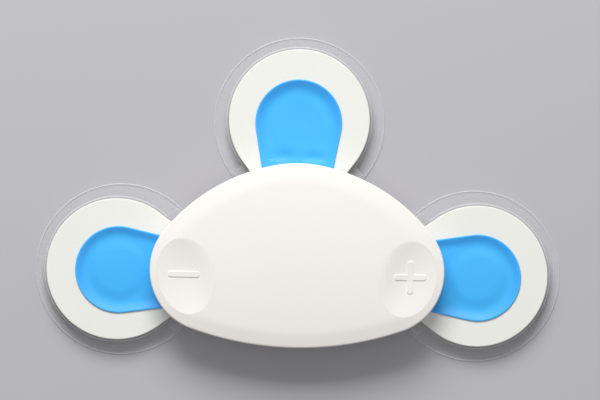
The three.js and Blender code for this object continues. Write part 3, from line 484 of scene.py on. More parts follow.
@dataclass(frozen=True)
class Effect:
    """A shared surface effect: a node group that gives a height and a patch, each from 0 to 1."""

    name: str
    scales: tuple[str, ...]
    wire: Callable[[NodeTree, Node], Reliefs]
    made: ClassVar[dict[str, NodeTree]] = {}

    def group(self) -> NodeTree:
        """Returns the effect's node group, made the first time it is asked for."""
        if self.name not in self.made:
            tree = bpy.data.node_groups.new(self.name, "ShaderNodeTree")
            tree.interface.new_socket("Place", in_out="INPUT", socket_type="NodeSocketVector")
            for label in self.scales:
                tree.interface.new_socket(label, in_out="INPUT", socket_type="NodeSocketFloat")
            for label in ("Height", "Patch"):
                tree.interface.new_socket(label, in_out="OUTPUT", socket_type="NodeSocketFloat")
            height, patch = self.wire(tree, add_node(tree, "NodeGroupInput"))
            add_node(tree, "NodeGroupOutput", {"Height": height, "Patch": patch})
            self.made[self.name] = tree
        return self.made[self.name]


MOULDED_GRAIN = Effect("moulded_grain", ("Grain Scale", "Patch Scale"), wire_grain)
DRAWN_METAL = Effect("drawn_metal", ("Streak Scale",), wire_streaks)
CLOSED_CELLS = Effect("closed_cells", ("Cell Scale",), wire_cells)


class Bench:
    """A material being put together: its node tree and its one surface shader."""

    def __init__(self, name: str) -> None:
        """Starts a material of this name with a plain surface shader."""
        self.result = bpy.data.materials.new(name)
        self.result.use_nodes = True
        self.tree = self.result.node_tree
        self.surface = self.tree.nodes["Principled BSDF"]
        self.where = self.node("ShaderNodeTexCoord").outputs

    def node(self, kind: str, feeds: Feeds | None = None, **settings: object) -> Node:
        """Returns a new node with what its inputs get and its properties."""
        return add_node(self.tree, kind, feeds, **settings)

    def effect(self, effect: Effect, *scales: float) -> Reliefs:
        """Adds a shared effect, laid by the object's own coordinates.

        Args:
            effect: the effect.
            scales: its scales in order.

        Returns:
            Its height and its patch.
        """
        feeds = {"Place": self.where["Object"], **dict(zip(effect.scales, scales))}
        used = self.node("ShaderNodeGroup", feeds, node_tree=effect.group())
        return used.outputs["Height"], used.outputs["Patch"]

    def set(self, **feeds: object) -> None:
        """Feeds sockets of the surface shader, with spaces written as underscores."""
        for name, source in feeds.items():
            feed(self.tree, source, self.surface.inputs[name.replace("_", " ")])

    def blend(self, mask: Socket, first: Socket | Colour, second: Colour) -> Socket:
        """Returns a colour that goes from the first to the second as a mask goes from 0 to 1."""
        feeds = {"Factor": mask, MIX_START: first, MIX_END: second}
        return self.node("ShaderNodeMix", feeds, data_type="RGBA").outputs[MIX_RESULT]

    def spread(self, mask: Socket, low: float, high: float) -> Socket:
        """Returns a value that goes from low to high as a mask goes from 0 to 1."""
        feeds = {"Value": mask, "To Min": low, "To Max": high}
        return self.node("ShaderNodeMapRange", feeds).outputs["Result"]

    def wander(self, patch: Socket, finish: "MouldedFinish | MetalFinish") -> None:
        """Lets the surface's colour and roughness follow a patch.

        Args:
            patch: the patch, from 0 to 1.
            finish: the finish with its colour, its shade and its roughness.
        """
        self.set(Base_Color=self.blend(patch, finish.shade, finish.colour))
        self.set(Roughness=self.spread(patch, *finish.roughness))

    def relief(self, height: Socket, depth: float) -> Socket:
        """Returns the normal of a surface whose relief is this deep."""
        return self.node("ShaderNodeBump", {"Height": height, "Distance": depth * MM}).outputs["Normal"]


@dataclass(frozen=True)
class Finish:
    """A finish: its name, the record's slot that it belongs to, and its colour."""

    name: str
    slot: str
    colour: Colour
    made: ClassVar[dict[str, bpy.types.Material]] = {}

    def material(self) -> bpy.types.Material:
        """Returns the finish's material, made the first time it is asked for."""
        if self.name not in self.made:
            bench = Bench(self.name)
            self.dress(bench)
            self.made[self.name] = bench.result
        return self.made[self.name]

    def dress(self, bench: Bench) -> None:
        """Puts the finish's nodes on the bench.

        Args:
            bench: the material to dress.
        """
        raise NotImplementedError(self.name)


@dataclass(frozen=True)
class MouldedFinish(Finish):
    """Moulded plastic or rubber with a fine grain, whose colour and gloss wander a little."""

    shade: Colour
    roughness: tuple[float, float] = (0.42, 0.5)
    grain_scale: float = 2600.0
    grain_depth: float = 0.008
    gloss: float = 0.4
    patch_scale: float = 36.0

    def dress(self, bench: Bench) -> None:
        """Puts the finish's nodes on the bench.

        Args:
            bench: the material to dress.
        """
        height, patch = bench.effect(MOULDED_GRAIN, self.grain_scale, self.patch_scale)
        bench.wander(patch, self)
        bench.set(Normal=bench.relief(height, self.grain_depth), Specular_IOR_Level=self.gloss)


@dataclass(frozen=True)
class FilmFinish(Finish):
    """Thin blue film with slanting fine ribs, and painted shade: its colour is blended to a deeper blue on
    every slope.
    """

    shade: Colour
    slope_shade: Colour
    roughness: tuple[float, float] = (0.38, 0.46)
    grain_scale: float = 1500.0
    patch_scale: float = 60.0
    emboss_pitch: float = 0.55
    emboss_depth: float = 0.05
    emboss_slant: float = math.radians(35)
    emboss_waver: float = 0.6
    level: float = 0.999
    steep: float = 0.95
    gloss: float = 0.42

    def dress(self, bench: Bench) -> None:
        """Puts the finish's nodes on the bench.

        Args:
            bench: the material to dress.
        """
        _, patch = bench.effect(MOULDED_GRAIN, self.grain_scale, self.patch_scale)
        turn = {"Vector": bench.where["Object"], "Rotation": (0, 0, self.emboss_slant)}
        slant = bench.node("ShaderNodeMapping", turn).outputs["Vector"]
        scale = WAVE_PITCH / (self.emboss_pitch * MM)
        wave = {"Vector": slant, "Scale": scale, "Distortion": self.emboss_waver}
        ribs = bench.node("ShaderNodeTexWave", wave, bands_direction="X").outputs["Fac"]
        # Painted shade: where the surface tilts from level, the colour turns from the flat colour to a
        # deeper blue, standing in for the shade on the dish's slopes.
        upright = bench.node("ShaderNodeSeparateXYZ", {"Vector": bench.where["Normal"]}).outputs["Z"]
        ends = {"Value": upright, "From Min": self.level, "From Max": self.steep}
        slope = bench.node("ShaderNodeMapRange", ends).outputs["Result"]
        flat = bench.blend(patch, self.shade, self.colour)
        bench.set(
            Base_Color=bench.blend(slope, flat, self.slope_shade), Roughness=bench.spread(patch, *self.roughness),
            Normal=bench.relief(ribs, self.emboss_depth), Specular_IOR_Level=self.gloss,
        )


@dataclass(frozen=True)
class FoamFinish(Finish):
    """Closed-cell foam sheet with a matt skin."""

    shade: Colour
    cell_scale: float = 1900.0
    cell_depth: float = 0.03
    roughness: float = 0.86
    gloss: float = 0.25

    def dress(self, bench: Bench) -> None:
        """Puts the finish's nodes on the bench.

        Args:
            bench: the material to dress.
        """
        height, patch = bench.effect(CLOSED_CELLS, self.cell_scale)
        bench.set(Base_Color=bench.blend(patch, self.shade, self.colour), Roughness=self.roughness)
        bench.set(Normal=bench.relief(height, self.cell_depth), Specular_IOR_Level=self.gloss)


@dataclass(frozen=True)
class ClearFinish(Finish):
    """Clear sheet or gel in one pale colour, thin to look through and denser where it is seen at a slant,
    where its pale colour also paints the sheet's reflection.
    """

    facing: float
    slant_density_and_reflection: float
    falloff: float
    roughness: tuple[float, float] = (0.24, 0.36)
    bubble_scale: float = 240.0
    bubble_depth: float = 0.01
    gloss: float = 0.3

    def dress(self, bench: Bench) -> None:
        """Puts the finish's nodes on the bench.

        Args:
            bench: the material to dress.
        """
        _, patch = bench.effect(CLOSED_CELLS, self.bubble_scale)
        slant = bench.node("ShaderNodeLayerWeight", {"Blend": self.falloff}).outputs["Facing"]
        bench.set(Base_Color=self.colour, Roughness=bench.spread(patch, *self.roughness))
        bench.set(Normal=bench.relief(patch, self.bubble_depth), Specular_IOR_Level=self.gloss)
        # Painted reflection: the pale colour shows more where the surface is seen at a slant, standing in
        # for the light that a clear sheet reflects there.
        bench.set(Alpha=bench.spread(slant, self.facing, self.slant_density_and_reflection))


@dataclass(frozen=True)
class MetalFinish(Finish):
    """Drawn, rolled or plated metal with fine streaks and a faint stain."""

    shade: Colour
    roughness: tuple[float, float] = (0.22, 0.34)
    metallic: float = 1.0
    streak_depth: float = 0.003
    streak_scale: float = 5000.0

    def dress(self, bench: Bench) -> None:
        """Puts the finish's nodes on the bench.

        Args:
            bench: the material to dress.
        """
        height, patch = bench.effect(DRAWN_METAL, self.streak_scale)
        bench.wander(patch, self)
        bench.set(Normal=bench.relief(height, self.streak_depth), Metallic=self.metallic)


WHITE_CASE = MouldedFinish("satin_white_case", "white_case", srgb(247, 243, 239), srgb(245, 241, 236))
WHITE_KEY = MouldedFinish("satin_white_key", "white_key", srgb(247, 243, 239), srgb(245, 241, 236))
SEAL_RUBBER = MouldedFinish(
    "grey_silicone", "seal_rubber", srgb(150, 152, 154), srgb(138, 140, 142), (0.7, 0.8), 1500, 0.01, 0.2,
)
BOARD_GREEN = MouldedFinish(
    "green_solder_mask", "board_green", srgb(30, 110, 74), srgb(24, 92, 62), (0.35, 0.5), 900, 0.01,
)
CHIP_BLACK = MouldedFinish(
    "moulded_epoxy", "chip_black", srgb(44, 45, 48), srgb(36, 37, 40), (0.5, 0.65), 3000, 0.012, 0.3,
)
BLUE_FILM = FilmFinish(
    # The film's third colour is painted shade, worn on its slopes.
    "soft_gloss_blue_film", "blue_film", srgb(71, 189, 255), srgb(66, 185, 254), srgb(64, 177, 255),
)
WHITE_FOAM = FoamFinish("closed_cell_foam", "white_foam", srgb(240, 240, 234), srgb(237, 237, 231))
# The pale colours of the clear finishes are partly their own tint and partly painted reflection, which
# shows more at a slant.
CLEAR_GEL = ClearFinish("clear_hydrogel", "clear_gel", srgb(214, 226, 232), 0.35, 0.8, 0.4, (0.144, 0.216))
CLEAR_SHEET = ClearFinish("formed_clear_sheet", "clear_sheet", srgb(246, 246, 247), 0.15, 0.27, 0.2)
# Painted highlight: this whiter, denser finish makes the liner's beads show as the light lines of its edge
# and crease.
CLEAR_EDGE_HIGHLIGHT = ClearFinish("formed_clear_edge", "clear_sheet", srgb(250, 250, 251), 0.3, 0.5, 0.3)
NICKEL = MetalFinish("bright_nickel_plate", "nickel", srgb(222, 220, 214), srgb(210, 208, 202), (0.2, 0.3))
SPRING_BRASS = MetalFinish("spring_bronze", "brass_spring", srgb(222, 196, 128), srgb(200, 172, 104))
SILVER_INK = MetalFinish(
    "printed_silver_ink", "silver_ink", srgb(186, 188, 190), srgb(172, 174, 176), (0.45, 0.6), 0.6, 0.004,
)
SCREW_STEEL = MetalFinish(
    "zinc_plated_steel", "screw_steel", srgb(196, 198, 200), srgb(180, 182, 185), (0.28, 0.4),
)
CELL_STEEL = MetalFinish("drawn_stainless_can", "cell_steel", srgb(226, 228, 229), srgb(214, 216, 218))


def dress_node(name: str, finish: Finish) -> None:
    """Gives a plain node its finish.

    Args:
        name: the node's name.
        finish: the finish to wear.
    """
    node = frame["nodes"][name]
    if not node.material_slots:
        node.data.materials.append(None)
    for worn in node.material_slots:
        worn.link = "OBJECT"
        worn.material = finish.material()
    log.info("%s wears %s", name, finish.name)


# Case.


@dataclass(frozen=True)
class Arc:
    """One arc of the case's outline, from one outward direction to another."""

    start: float
    end: float
    x: float
    y: float
    radius: float


@dataclass
class EggPlan:
    """Plan of the case: four tangent arcs a side, about the axis of the battery door."""

    lower_edge: float = 27.8
    lower_radius: float = 112.7
    corner_radius: float = 22.0
    shoulder_radius: float = 66.3
    lower_arc_end: float = math.radians(-70.6)
    corner_arc_end: float = math.radians(38.7)
    shoulder_arc_end: float = math.radians(78.6)
    arc_steps: tuple[int, ...] = (12, 48, 30, 10)
    arcs: list[Arc] = field(init=False)
    directions: list[float] = field(init=False)
    middle: Vector = field(init=False)
    half_width: float = field(init=False)
    half_depth: float = field(init=False)
    centre_y: float = field(init=False)

    def __post_init__(self) -> None:
        """Works out the arcs, the directions round the case and the place of its middle."""
        self.middle = joint_place("battery_door_turn")
        self.arcs = self._arcs()
        right = [
            mix(arc.start, arc.end, k / count)
            for arc, count in zip(self.arcs, self.arc_steps)
            for k in range(count)
        ]
        left = [math.pi - direction for direction in reversed(right)]
        self.directions = [*right, QUARTER_TURN, *left[:-1]]
        self.half_width = self.edge_point(0, 0)[0]
        top_edge = self.edge_point(QUARTER_TURN, 0)[1]
        self.centre_y = (top_edge - self.lower_edge) / 2
        self.half_depth = (top_edge + self.lower_edge) / 2

    def _arcs(self) -> list[Arc]:
        """Returns the arcs of the right side, the last one meeting the middle line square."""
        radii = (self.lower_radius, self.corner_radius, self.shoulder_radius)
        ends = (self.lower_arc_end, self.corner_arc_end, self.shoulder_arc_end)
        arcs: list[Arc] = []
        start, radius = -QUARTER_TURN, self.lower_radius
        x, y = 0.0, radius - self.lower_edge
        for next_radius, end in zip(radii, ends):
            x += (radius - next_radius) * math.cos(start)
            y += (radius - next_radius) * math.sin(start)
            arcs.append(Arc(start, end, x, y, next_radius))
            start, radius = end, next_radius
        top_radius = radius + x / math.cos(start)
        x += (radius - top_radius) * math.cos(start)
        y += (radius - top_radius) * math.sin(start)
        return [*arcs, Arc(start, QUARTER_TURN, x, y, top_radius)]

    def edge_point(self, direction: float, inset: float) -> tuple[float, float]:
        """Finds the point of the outline whose outward normal has this direction.

        Args:
            direction: the normal's direction.
            inset: how far inside the outline the point lies.

        Returns:
            Its x and y about the case's middle.
        """
        folded = math.atan2(math.sin(direction), abs(math.cos(direction)))
        arc = next((one for one in self.arcs if folded <= one.end), self.arcs[-1])
        reach = arc.radius - inset
        x = arc.x + reach * math.cos(folded)
        y = arc.y + reach * math.sin(folded)
        return (x if math.cos(direction) >= 0 else -x), y

    def inset_of(self, x: float, y: float) -> tuple[float, float]:
        """Finds how far inside the outline a point lies.

        Args:
            x, y: the point about the case's middle.

        Returns:
            The distance, and the direction of the nearest outward normal.
        """
        side = abs(x)
        for arc in self.arcs:
            direction = math.atan2(y - arc.y, side - arc.x)
            if arc.start <= direction <= arc.end:
                return arc.radius - math.hypot(side - arc.x, y - arc.y), direction
        return self.corner_radius, 0.0

    def place(self, x: float, y: float, z: float) -> Vector:
        """Returns a point of the case in the scene's frame, in metres."""
        return Vector((self.middle.x + x * MM, self.middle.y + y * MM, z * MM))

    def ring(self, inset: Callable[[float], float], height: Callable[[float, float, float], float]) -> Ring:
        """Makes a ring that follows the outline.

        Args:
            inset: how far inside the outline it runs, by direction.
            height: its height by x, y and direction.

        Returns:
            The ring's points.
        """
        points = []
        for direction in self.directions:
            x, y = self.edge_point(direction, inset(direction))
            points.append(self.place(x, y, height(x, y, direction)))
        return points

    def level_ring(self, inset: float, height: float) -> Ring:
        """Returns a level ring at one inset."""
        return self.ring(lambda _: inset, lambda *_: height)

    def pole(self, height: float) -> Ring:
        """Returns a ring gathered together at the middle."""
        return [self.place(0, 0, height)] * len(self.directions)


@dataclass
class TopSkin:
    """Heights of the outer face of the top cover: a crowned roof and a sloping band round it."""

    plan: EggPlan
    base: float = 10.3
    side_height: float = 4.2
    rim_radius: float = 0.5
    lower_band: float = 4.9
    upper_band: float = 5.8
    band_drop: float = 0.6
    crown: float = 1.5
    blend: float = 0.25

    def band_width(self, direction: float) -> float:
        """Returns the width of the sloping band, which is wider along the top of the egg."""
        return mix(self.lower_band, self.upper_band, (1 + math.sin(direction)) / 2)

    def band_share(self, inset_share: float) -> float:
        """Returns the share of the band's drop: a straight slope with a soft crease to the roof."""
        before_roof = 1 + self.blend - inset_share
        if before_roof <= 0:
            return 0.0
        if before_roof >= self.blend * 2:
            return 1 - inset_share
        return before_roof**2 / (self.blend * 4)

    def rim_drop(self, inset: float) -> float:
        """Returns how far the rounded rim lies below the band at an inset."""
        short = max(self.rim_radius - inset, 0.0)
        return self.rim_radius - math.sqrt(self.rim_radius**2 - short**2)

    def dome(self, x: float, y: float) -> float:
        """Returns the height of the crowned roof, as if it ran on over the band."""
        across = x / self.plan.half_width
        along = (y - self.plan.centre_y) / self.plan.half_depth
        return self.base + self.side_height + self.band_drop + self.crown * (1 - across**2 - along**2)

    def height(self, x: float, y: float, inset: float, direction: float) -> float:
        """Returns the height of the outer face at a point whose inset is known."""
        band = self.band_share(inset / self.band_width(direction))
        return self.dome(x, y) - self.band_drop * band - self.rim_drop(inset)

    def height_at(self, x: float, y: float) -> float:
        """Returns the height of the outer face over a point of the plan."""
        return self.height(x, y, *self.plan.inset_of(x, y))

    def ring(self, inset: float = 0.0, share: float = 0.0, down: float = 0.0) -> Ring:
        """Makes a ring on the outer face, or at a depth below it.

        Args:
            inset: how far inside the outline it runs.
            share: the share of the band's width that comes on top of that.
            down: how far below the outer face it lies.

        Returns:
            The ring's points.
        """

        def reach(direction: float) -> float:
            """Returns how far inside the outline the ring runs in a direction."""
            return inset + self.band_width(direction) * share

        return self.plan.ring(
            reach, lambda x, y, direction: self.height(x, y, reach(direction), direction) - down,
        )


@dataclass
class TopCover:
    """The upper half of the case, with an opening for each key."""

    skin: TopSkin
    keys: list["ThumbKey"]
    wall: float = 1.8
    lip_radius: float = 0.2
    rim_steps: int = 5
    band_shares: tuple[float, ...] = (0.25, 0.45, 0.6, 0.7, 0.78, 0.86, 0.94, 1.02, 1.1, 1.18, 1.26, 1.4)
    roof_steps: int = 18
    seam: float = 0.012

    def build(self) -> None:
        """Builds and dresses the cover."""
        piece = new_object(laid_over(self._rings()), "top_cover_moulding")
        carve(piece, [key.opening(self.seam) for key in self.keys])
        finish_piece(piece, "housing", WHITE_CASE, "top_cover", even=True)

    def _rings(self) -> list[Ring]:
        """Returns the rings from the middle of the roof to the split line, and those of the inside."""
        skin, plan = self.skin, self.skin.plan
        lip = self.lip_radius
        outside = [plan.level_ring(lip, skin.base), plan.level_ring(0, skin.base + lip)]
        outside += [skin.ring(inset) for _, inset in quarter_round(skin.rim_radius, self.rim_steps)]
        outside += [skin.ring(share=share) for share in self.band_shares]
        outside += self._roof(outside[-1], 0)
        edge = skin.ring(share=self.band_shares[-1], down=self.wall)
        inside = [plan.level_ring(self.wall, skin.base), skin.ring(self.wall, down=self.wall), edge]
        return [*reversed(outside), *inside, *self._roof(edge, self.wall)]

    def _roof(self, edge: Ring, down: float) -> list[Ring]:
        """Draws a ring together towards the middle of the roof.

        Args:
            edge: the ring to start inside of.
            down: how far below the outer face the rings lie.

        Returns:
            The rings, the last one a pole.
        """
        plan = self.skin.plan
        rings = []
        for share in steps_between(1, 0, self.roof_steps)[1:]:
            ring = []
            for point in edge:
                x = (point.x - plan.middle.x) / MM * share
                y = mix(plan.centre_y, (point.y - plan.middle.y) / MM, share)
                ring.append(plan.place(x, y, self.skin.dome(x, y) - down))
            rings.append(ring)
        return rings


class KeySign(enum.Enum):
    """The sign that a key carries, and the side of the case that it is on."""

    MINUS = -1
    PLUS = 1

    @property
    def body(self) -> str:
        """Returns the name of the key's moving body."""
        return f"{self.name.lower()}_key"


@dataclass
class ThumbKey:
    """An oval key whose top is a thumb dish with a raised sign."""

    skin: TopSkin
    sign: KeySign
    from_side: float = 12.9
    below_middle: float = 3.05
    half_width: float = 10.1
    half_height: float = 13.6
    lean: float = math.radians(13.5)
    dish_depth: float = 1.35
    inner_swell: float = 0.8
    underside: float = 13.25
    cut_low: float = 11.0
    cut_high: float = 19.0
    sides: int = 160
    dish_rings: int = 44
    sign_right: float = 0.8
    sign_up: float = 0.75
    sign_length: float = 11.2
    sign_height: float = 11.6
    sign_width: float = 2.15
    sign_corner: float = 0.8
    sign_rise: float = 0.25
    sign_round: float = 0.9
    sign_root: float = 0.6
    sign_segments: int = 6
    sign_slices: int = 16
    end_tolerance: float = 0.01
    rib_places: tuple[tuple[float, float, float], ...] = (
        (-7.6, -1.4, 7.2), (-6.3, -1.4, 7.2), (-9.7, -3.4, 2.0),
    )
    rib_rise: float = 0.075
    rib_spread: float = 0.24
    rib_fade: float = 1.2
    rib_lean: float = 0.05

    def centre(self) -> tuple[float, float]:
        """Returns the middle of the key in plan."""
        return self.sign.value * (self.skin.plan.half_width - self.from_side), -self.below_middle

    def point(self, share: float, angle: float, grow: float = 0.0) -> tuple[float, float]:
        """Finds a point of the leaning oval, or of a smaller oval inside it.

        Args:
            share: the size of the oval against the key's own.
            angle: the angle round the oval, 0 on the outer side of the case.
            grow: how much wider than the key the oval is.

        Returns:
            Its x and y about the case's middle.
        """
        across = (self.half_width + grow) * share * math.cos(angle)
        along = (self.half_height + grow) * share * math.sin(angle)
        x = across * math.cos(self.lean) + along * math.sin(self.lean)
        y = along * math.cos(self.lean) - across * math.sin(self.lean)
        middle_x, middle_y = self.centre()
        return middle_x + self.sign.value * x, middle_y + y

    def share_and_angle(self, x: float, y: float) -> tuple[float, float]:
        """Returns the size of the oval through a point, and the point's angle round it."""
        middle_x, middle_y = self.centre()
        out, up = (x - middle_x) * self.sign.value, y - middle_y
        across = (out * math.cos(self.lean) - up * math.sin(self.lean)) / self.half_width
        along = (out * math.sin(self.lean) + up * math.cos(self.lean)) / self.half_height
        return math.hypot(across, along), math.atan2(along, across)

    def top(self, share: float, angle: float) -> float:
        """Finds the height of the dish.

        Args:
            share: the size of the oval that the point is on.
            angle: the point's angle round it.

        Returns:
            The height, which meets the roof at the key's edge.
        """
        x, y = self.point(share, angle)
        edge = self.point(1, angle)
        lip = self.skin.dome(*edge) - self.skin.height_at(*edge)
        inner_share = (1 - math.cos(angle)) / 2
        depth = self.dish_depth * max(1 - share**2, 0.0) ** (1 + self.inner_swell * inner_share**4)
        return self.skin.dome(x, y) - lip * share**4 - depth + self._rib(x, y)

    def _rib(self, x: float, y: float) -> float:
        """Returns the height of the faint ribs on the inner side of the plus key."""
        if self.sign is not KeySign.PLUS:
            return 0.0
        across, up = x - self.centre()[0], y - self.centre()[1]
        waves = 0.0
        for place, low, high in self.rib_places:
            length = ease((up - low) / self.rib_fade) * ease((high - up) / self.rib_fade)
            waves += length * math.exp(-(((across + self.rib_lean * up - place) / self.rib_spread) ** 2))
        return self.rib_rise * waves

    def _ring(self, share: float, height: float | None = None, grow: float = 0.0) -> Ring:
        """Returns a ring of the key, on the dish or at one height."""
        ring = []
        for angle in around(self.sides):
            level = self.top(share, angle) if height is None else height
            ring.append(self.skin.plan.place(*self.point(share, angle, grow), level))
        return ring

    def opening(self, gap: float) -> Mesh:
        """Returns the shape that cuts the key's opening with a gap all round."""
        corners = ((0, self.cut_low), (1, self.cut_low), (1, self.cut_high), (0, self.cut_high))
        return laid_over([self._ring(share, height, gap) for share, height in corners])

    def build(self) -> None:
        """Builds and dresses the key and its sign."""
        shares = [math.sin(QUARTER_TURN * share) for share in steps_between(1, 0, self.dish_rings)]
        rings = [self._ring(0, self.underside), self._ring(1, self.underside), *map(self._ring, shares)]
        body = self.sign.body
        finish_piece(new_object(laid_over(rings), f"{body}_dish"), body, WHITE_KEY, body, SOFT_ANGLE)
        finish_piece(new_object(self._sign(), f"{body}_sign"), body, WHITE_KEY, sharp=SOFTER_ANGLE)

    def _sign(self) -> Mesh:
        """Returns the raised bar or cross, laid on the dish."""
        length, height, half = self.sign_length / 2, self.sign_height / 2, self.sign_width / 2
        if self.sign is KeySign.MINUS:
            corners = [(-length, -half), (length, -half), (length, half), (-length, half)]
        else:
            corners = [
                (-length, -half), (-half, -half), (-half, -height), (half, -height),
                (half, -half), (length, -half), (length, half), (half, half),
                (half, height), (-half, height), (-half, half), (-length, half),
            ]
        mesh = bmesh.new()
        mesh.faces.new([mesh.verts.new((x, y, -self.sign_root)) for x, y in corners])
        far_x, far_y = length - self.end_tolerance, height - self.end_tolerance
        outer = [v for v in mesh.verts if abs(v.co.x) > far_x or abs(v.co.y) > far_y]
        bmesh.ops.bevel(
            mesh, geom=outer, offset=self.sign_corner, offset_type="OFFSET", affect="VERTICES",
            segments=self.sign_segments, profile=0.5, material=-1,
        )
        extrude(mesh, self.sign_root + self.sign_rise)
        rim = [e for e in mesh.edges if e.verts[0].co.z > 0 and e.verts[1].co.z > 0]
        bmesh.ops.bevel(
            mesh, geom=rim, offset=self.sign_rise * self.sign_round, offset_type="OFFSET", affect="EDGES",
            segments=self.sign_segments, profile=0.5, material=-1, clamp_overlap=True,
        )
        for axis in (Vector((1, 0, 0)), Vector((0, 1, 0))):
            for reach in steps_between(-height, height, self.sign_slices):
                whole = [*mesh.verts, *mesh.edges, *mesh.faces]
                bmesh.ops.bisect_plane(mesh, geom=whole, plane_co=axis * reach, plane_no=axis)
        middle_x, middle_y = self.centre()
        middle_x += self.sign.value * self.sign_right
        middle_y += self.sign_up
        for vertex in mesh.verts:
            x, y = middle_x + vertex.co.x, middle_y + vertex.co.y
            vertex.co = self.skin.plan.place(x, y, self.top(*self.share_and_angle(x, y)) + vertex.co.z)
        close_up(mesh)
        return mesh


@dataclass
class BottomCover:
    """The lower half of the case: a raised shelf over the pads and a belly that holds the battery."""

    plan: EggPlan
    split: float = 10.0
    wall: float = 1.8
    shelf_underside: float = 6.8
    shelf_thickness: float = 1.6
    shelf_curve: float = 3.2
    shelf_steps: int = 8
    belly_half_length: float = 28.43
    belly_half_width: float = 17.51
    belly_underside: float = 4.2
    belly_rounding: float = 0.8
    belly_steps: int = 5
    belly_power: float = 2.6
    fillet: float = 0.5
    fillet_steps: int = 4
    door_mouth: float = 12.0
    door_cut: tuple[float, float] = (3.0, 7.0)
    channel_radius: float = 13.4
    channel_cut: tuple[float, float] = (5.55, 6.35)
    screw_sink: float = 2.45
    screw_cut: tuple[float, float] = (3.0, 6.1)
    socket_hole: float = 5.0
    socket_cut: tuple[float, float] = (6.0, 9.0)
    door_sides: int = 96
    screw_sides: int = 40
    socket_sides: int = 64

    def build(self, studs: list[Vector], screws: list[Vector]) -> None:
        """Builds and dresses the cover.

        Args:
            studs: where the snap studs stand.
            screws: where the case screws go in.
        """
        middle = self.plan.middle
        piece = new_object(laid_over(self._rings()), "bottom_cover_moulding")
        cutters = [post(middle, self.door_mouth, *self.door_cut, self.door_sides)]
        cutters += [post(place, self.screw_sink, *self.screw_cut, self.screw_sides) for place in screws]
        cutters += [post(place, self.socket_hole, *self.socket_cut, self.socket_sides) for place in studs]
        carve(piece, cutters)
        carve(piece, [post(middle, self.channel_radius, *self.channel_cut, self.door_sides)])
        finish_piece(piece, "housing", WHITE_CASE, "bottom_cover", even=True)

    def _belly_ring(self, shrink: float, height: float) -> Ring:
        """Returns a ring of the belly, as many points as the case outline has."""
        ring, power = [], 2 / self.belly_power
        for direction in self.plan.directions:
            across, along = math.cos(direction), math.sin(direction)
            x = math.copysign(abs(across) ** power, across) * (self.belly_half_length - shrink)
            y = math.copysign(abs(along) ** power, along) * (self.belly_half_width - shrink)
            ring.append(self.plan.place(x, y, height))
        return ring

    def _rings(self) -> list[Ring]:
        """Returns the rings from the middle of the belly out to the split line, and back inside."""
        plan, under, shelf = self.plan, self.belly_underside, self.shelf_underside
        belly = quarter_round(self.belly_rounding, self.belly_steps)
        fillet = quarter_round(self.fillet, self.fillet_steps)
        side, depth = quarter_round(1.0, self.shelf_steps), self.split - shelf
        inner, floor = shelf + self.shelf_thickness, under + self.shelf_thickness
        return [
            plan.pole(under),
            *(self._belly_ring(short, under + up) for short, up in belly),
            *(self._belly_ring(-up, shelf - short) for short, up in fillet),
            *(plan.level_ring(self.shelf_curve * short, shelf + depth * up) for short, up in side),
            plan.level_ring(self.wall, self.split),
            plan.level_ring(self.wall, inner),
            self._belly_ring(self.wall, inner),
            self._belly_ring(self.wall, floor),
            plan.pole(floor),
        ]


@dataclass
class BatteryDoor:
    """The quarter-turn door over the coin cell, with a slot for a coin."""

    plan: EggPlan
    radius: float = 11.7
    underside: float = 4.2
    top: float = 6.2
    edge: float = 0.3
    sides: int = 128
    slot_length: float = 14.0
    slot_width: float = 1.8
    slot_roof: float = 5.1
    slot_mouth: float = 3.2
    slot_sides: int = 40
    lug_reach: float = 1.4
    lug_height: float = 0.5
    lug_half_angle: float = math.radians(13)
    lug_angles: tuple[float, ...] = (QUARTER_TURN, math.radians(210), math.radians(330))
    lug_steps: int = 6

    def _lug(self, angle: float) -> Mesh:
        """Returns the lug that stands at an angle round the door, rooted in its edge."""
        inner, outer = self.radius - self.lug_reach, self.radius + self.lug_reach
        turns = steps_between(angle - self.lug_half_angle, angle + self.lug_half_angle, self.lug_steps)
        spots = [*((outer, a) for a in turns), *((inner, a) for a in reversed(turns))]
        mesh = bmesh.new()
        mesh.faces.new([
            mesh.verts.new(self.plan.place(reach * math.cos(a), reach * math.sin(a), self.top))
            for reach, a in spots
        ])
        extrude(mesh, -self.lug_height * MM)
        close_up(mesh)
        return mesh

    def build(self) -> None:
        """Builds and dresses the door."""
        profile = rounded_profile([
            (0, self.underside, 0), (self.radius, self.underside, self.edge),
            (self.radius, self.top, 0), (0, self.top, 0),
        ])
        piece = new_object(revolved(profile, self.plan.middle, self.sides), "battery_door_disc")
        half_width = self.slot_width / 2
        reach = self.slot_length / 2 - half_width
        low = self.plan.place(-reach, -half_width, self.slot_mouth)
        carve(piece, [block(low, self.plan.place(reach, half_width, self.slot_roof))])
        for side in (-reach, reach):
            end = self.plan.place(side, 0, 0)
            carve(piece, [post(end, half_width, self.slot_mouth, self.slot_roof, self.slot_sides)])
        with_lugs = gathered([self._lug(angle) for angle in self.lug_angles], piece.data)
        with_lugs.to_mesh(piece.data)
        with_lugs.free()
        finish_piece(piece, "battery_door", WHITE_CASE, "battery_door", even=True)


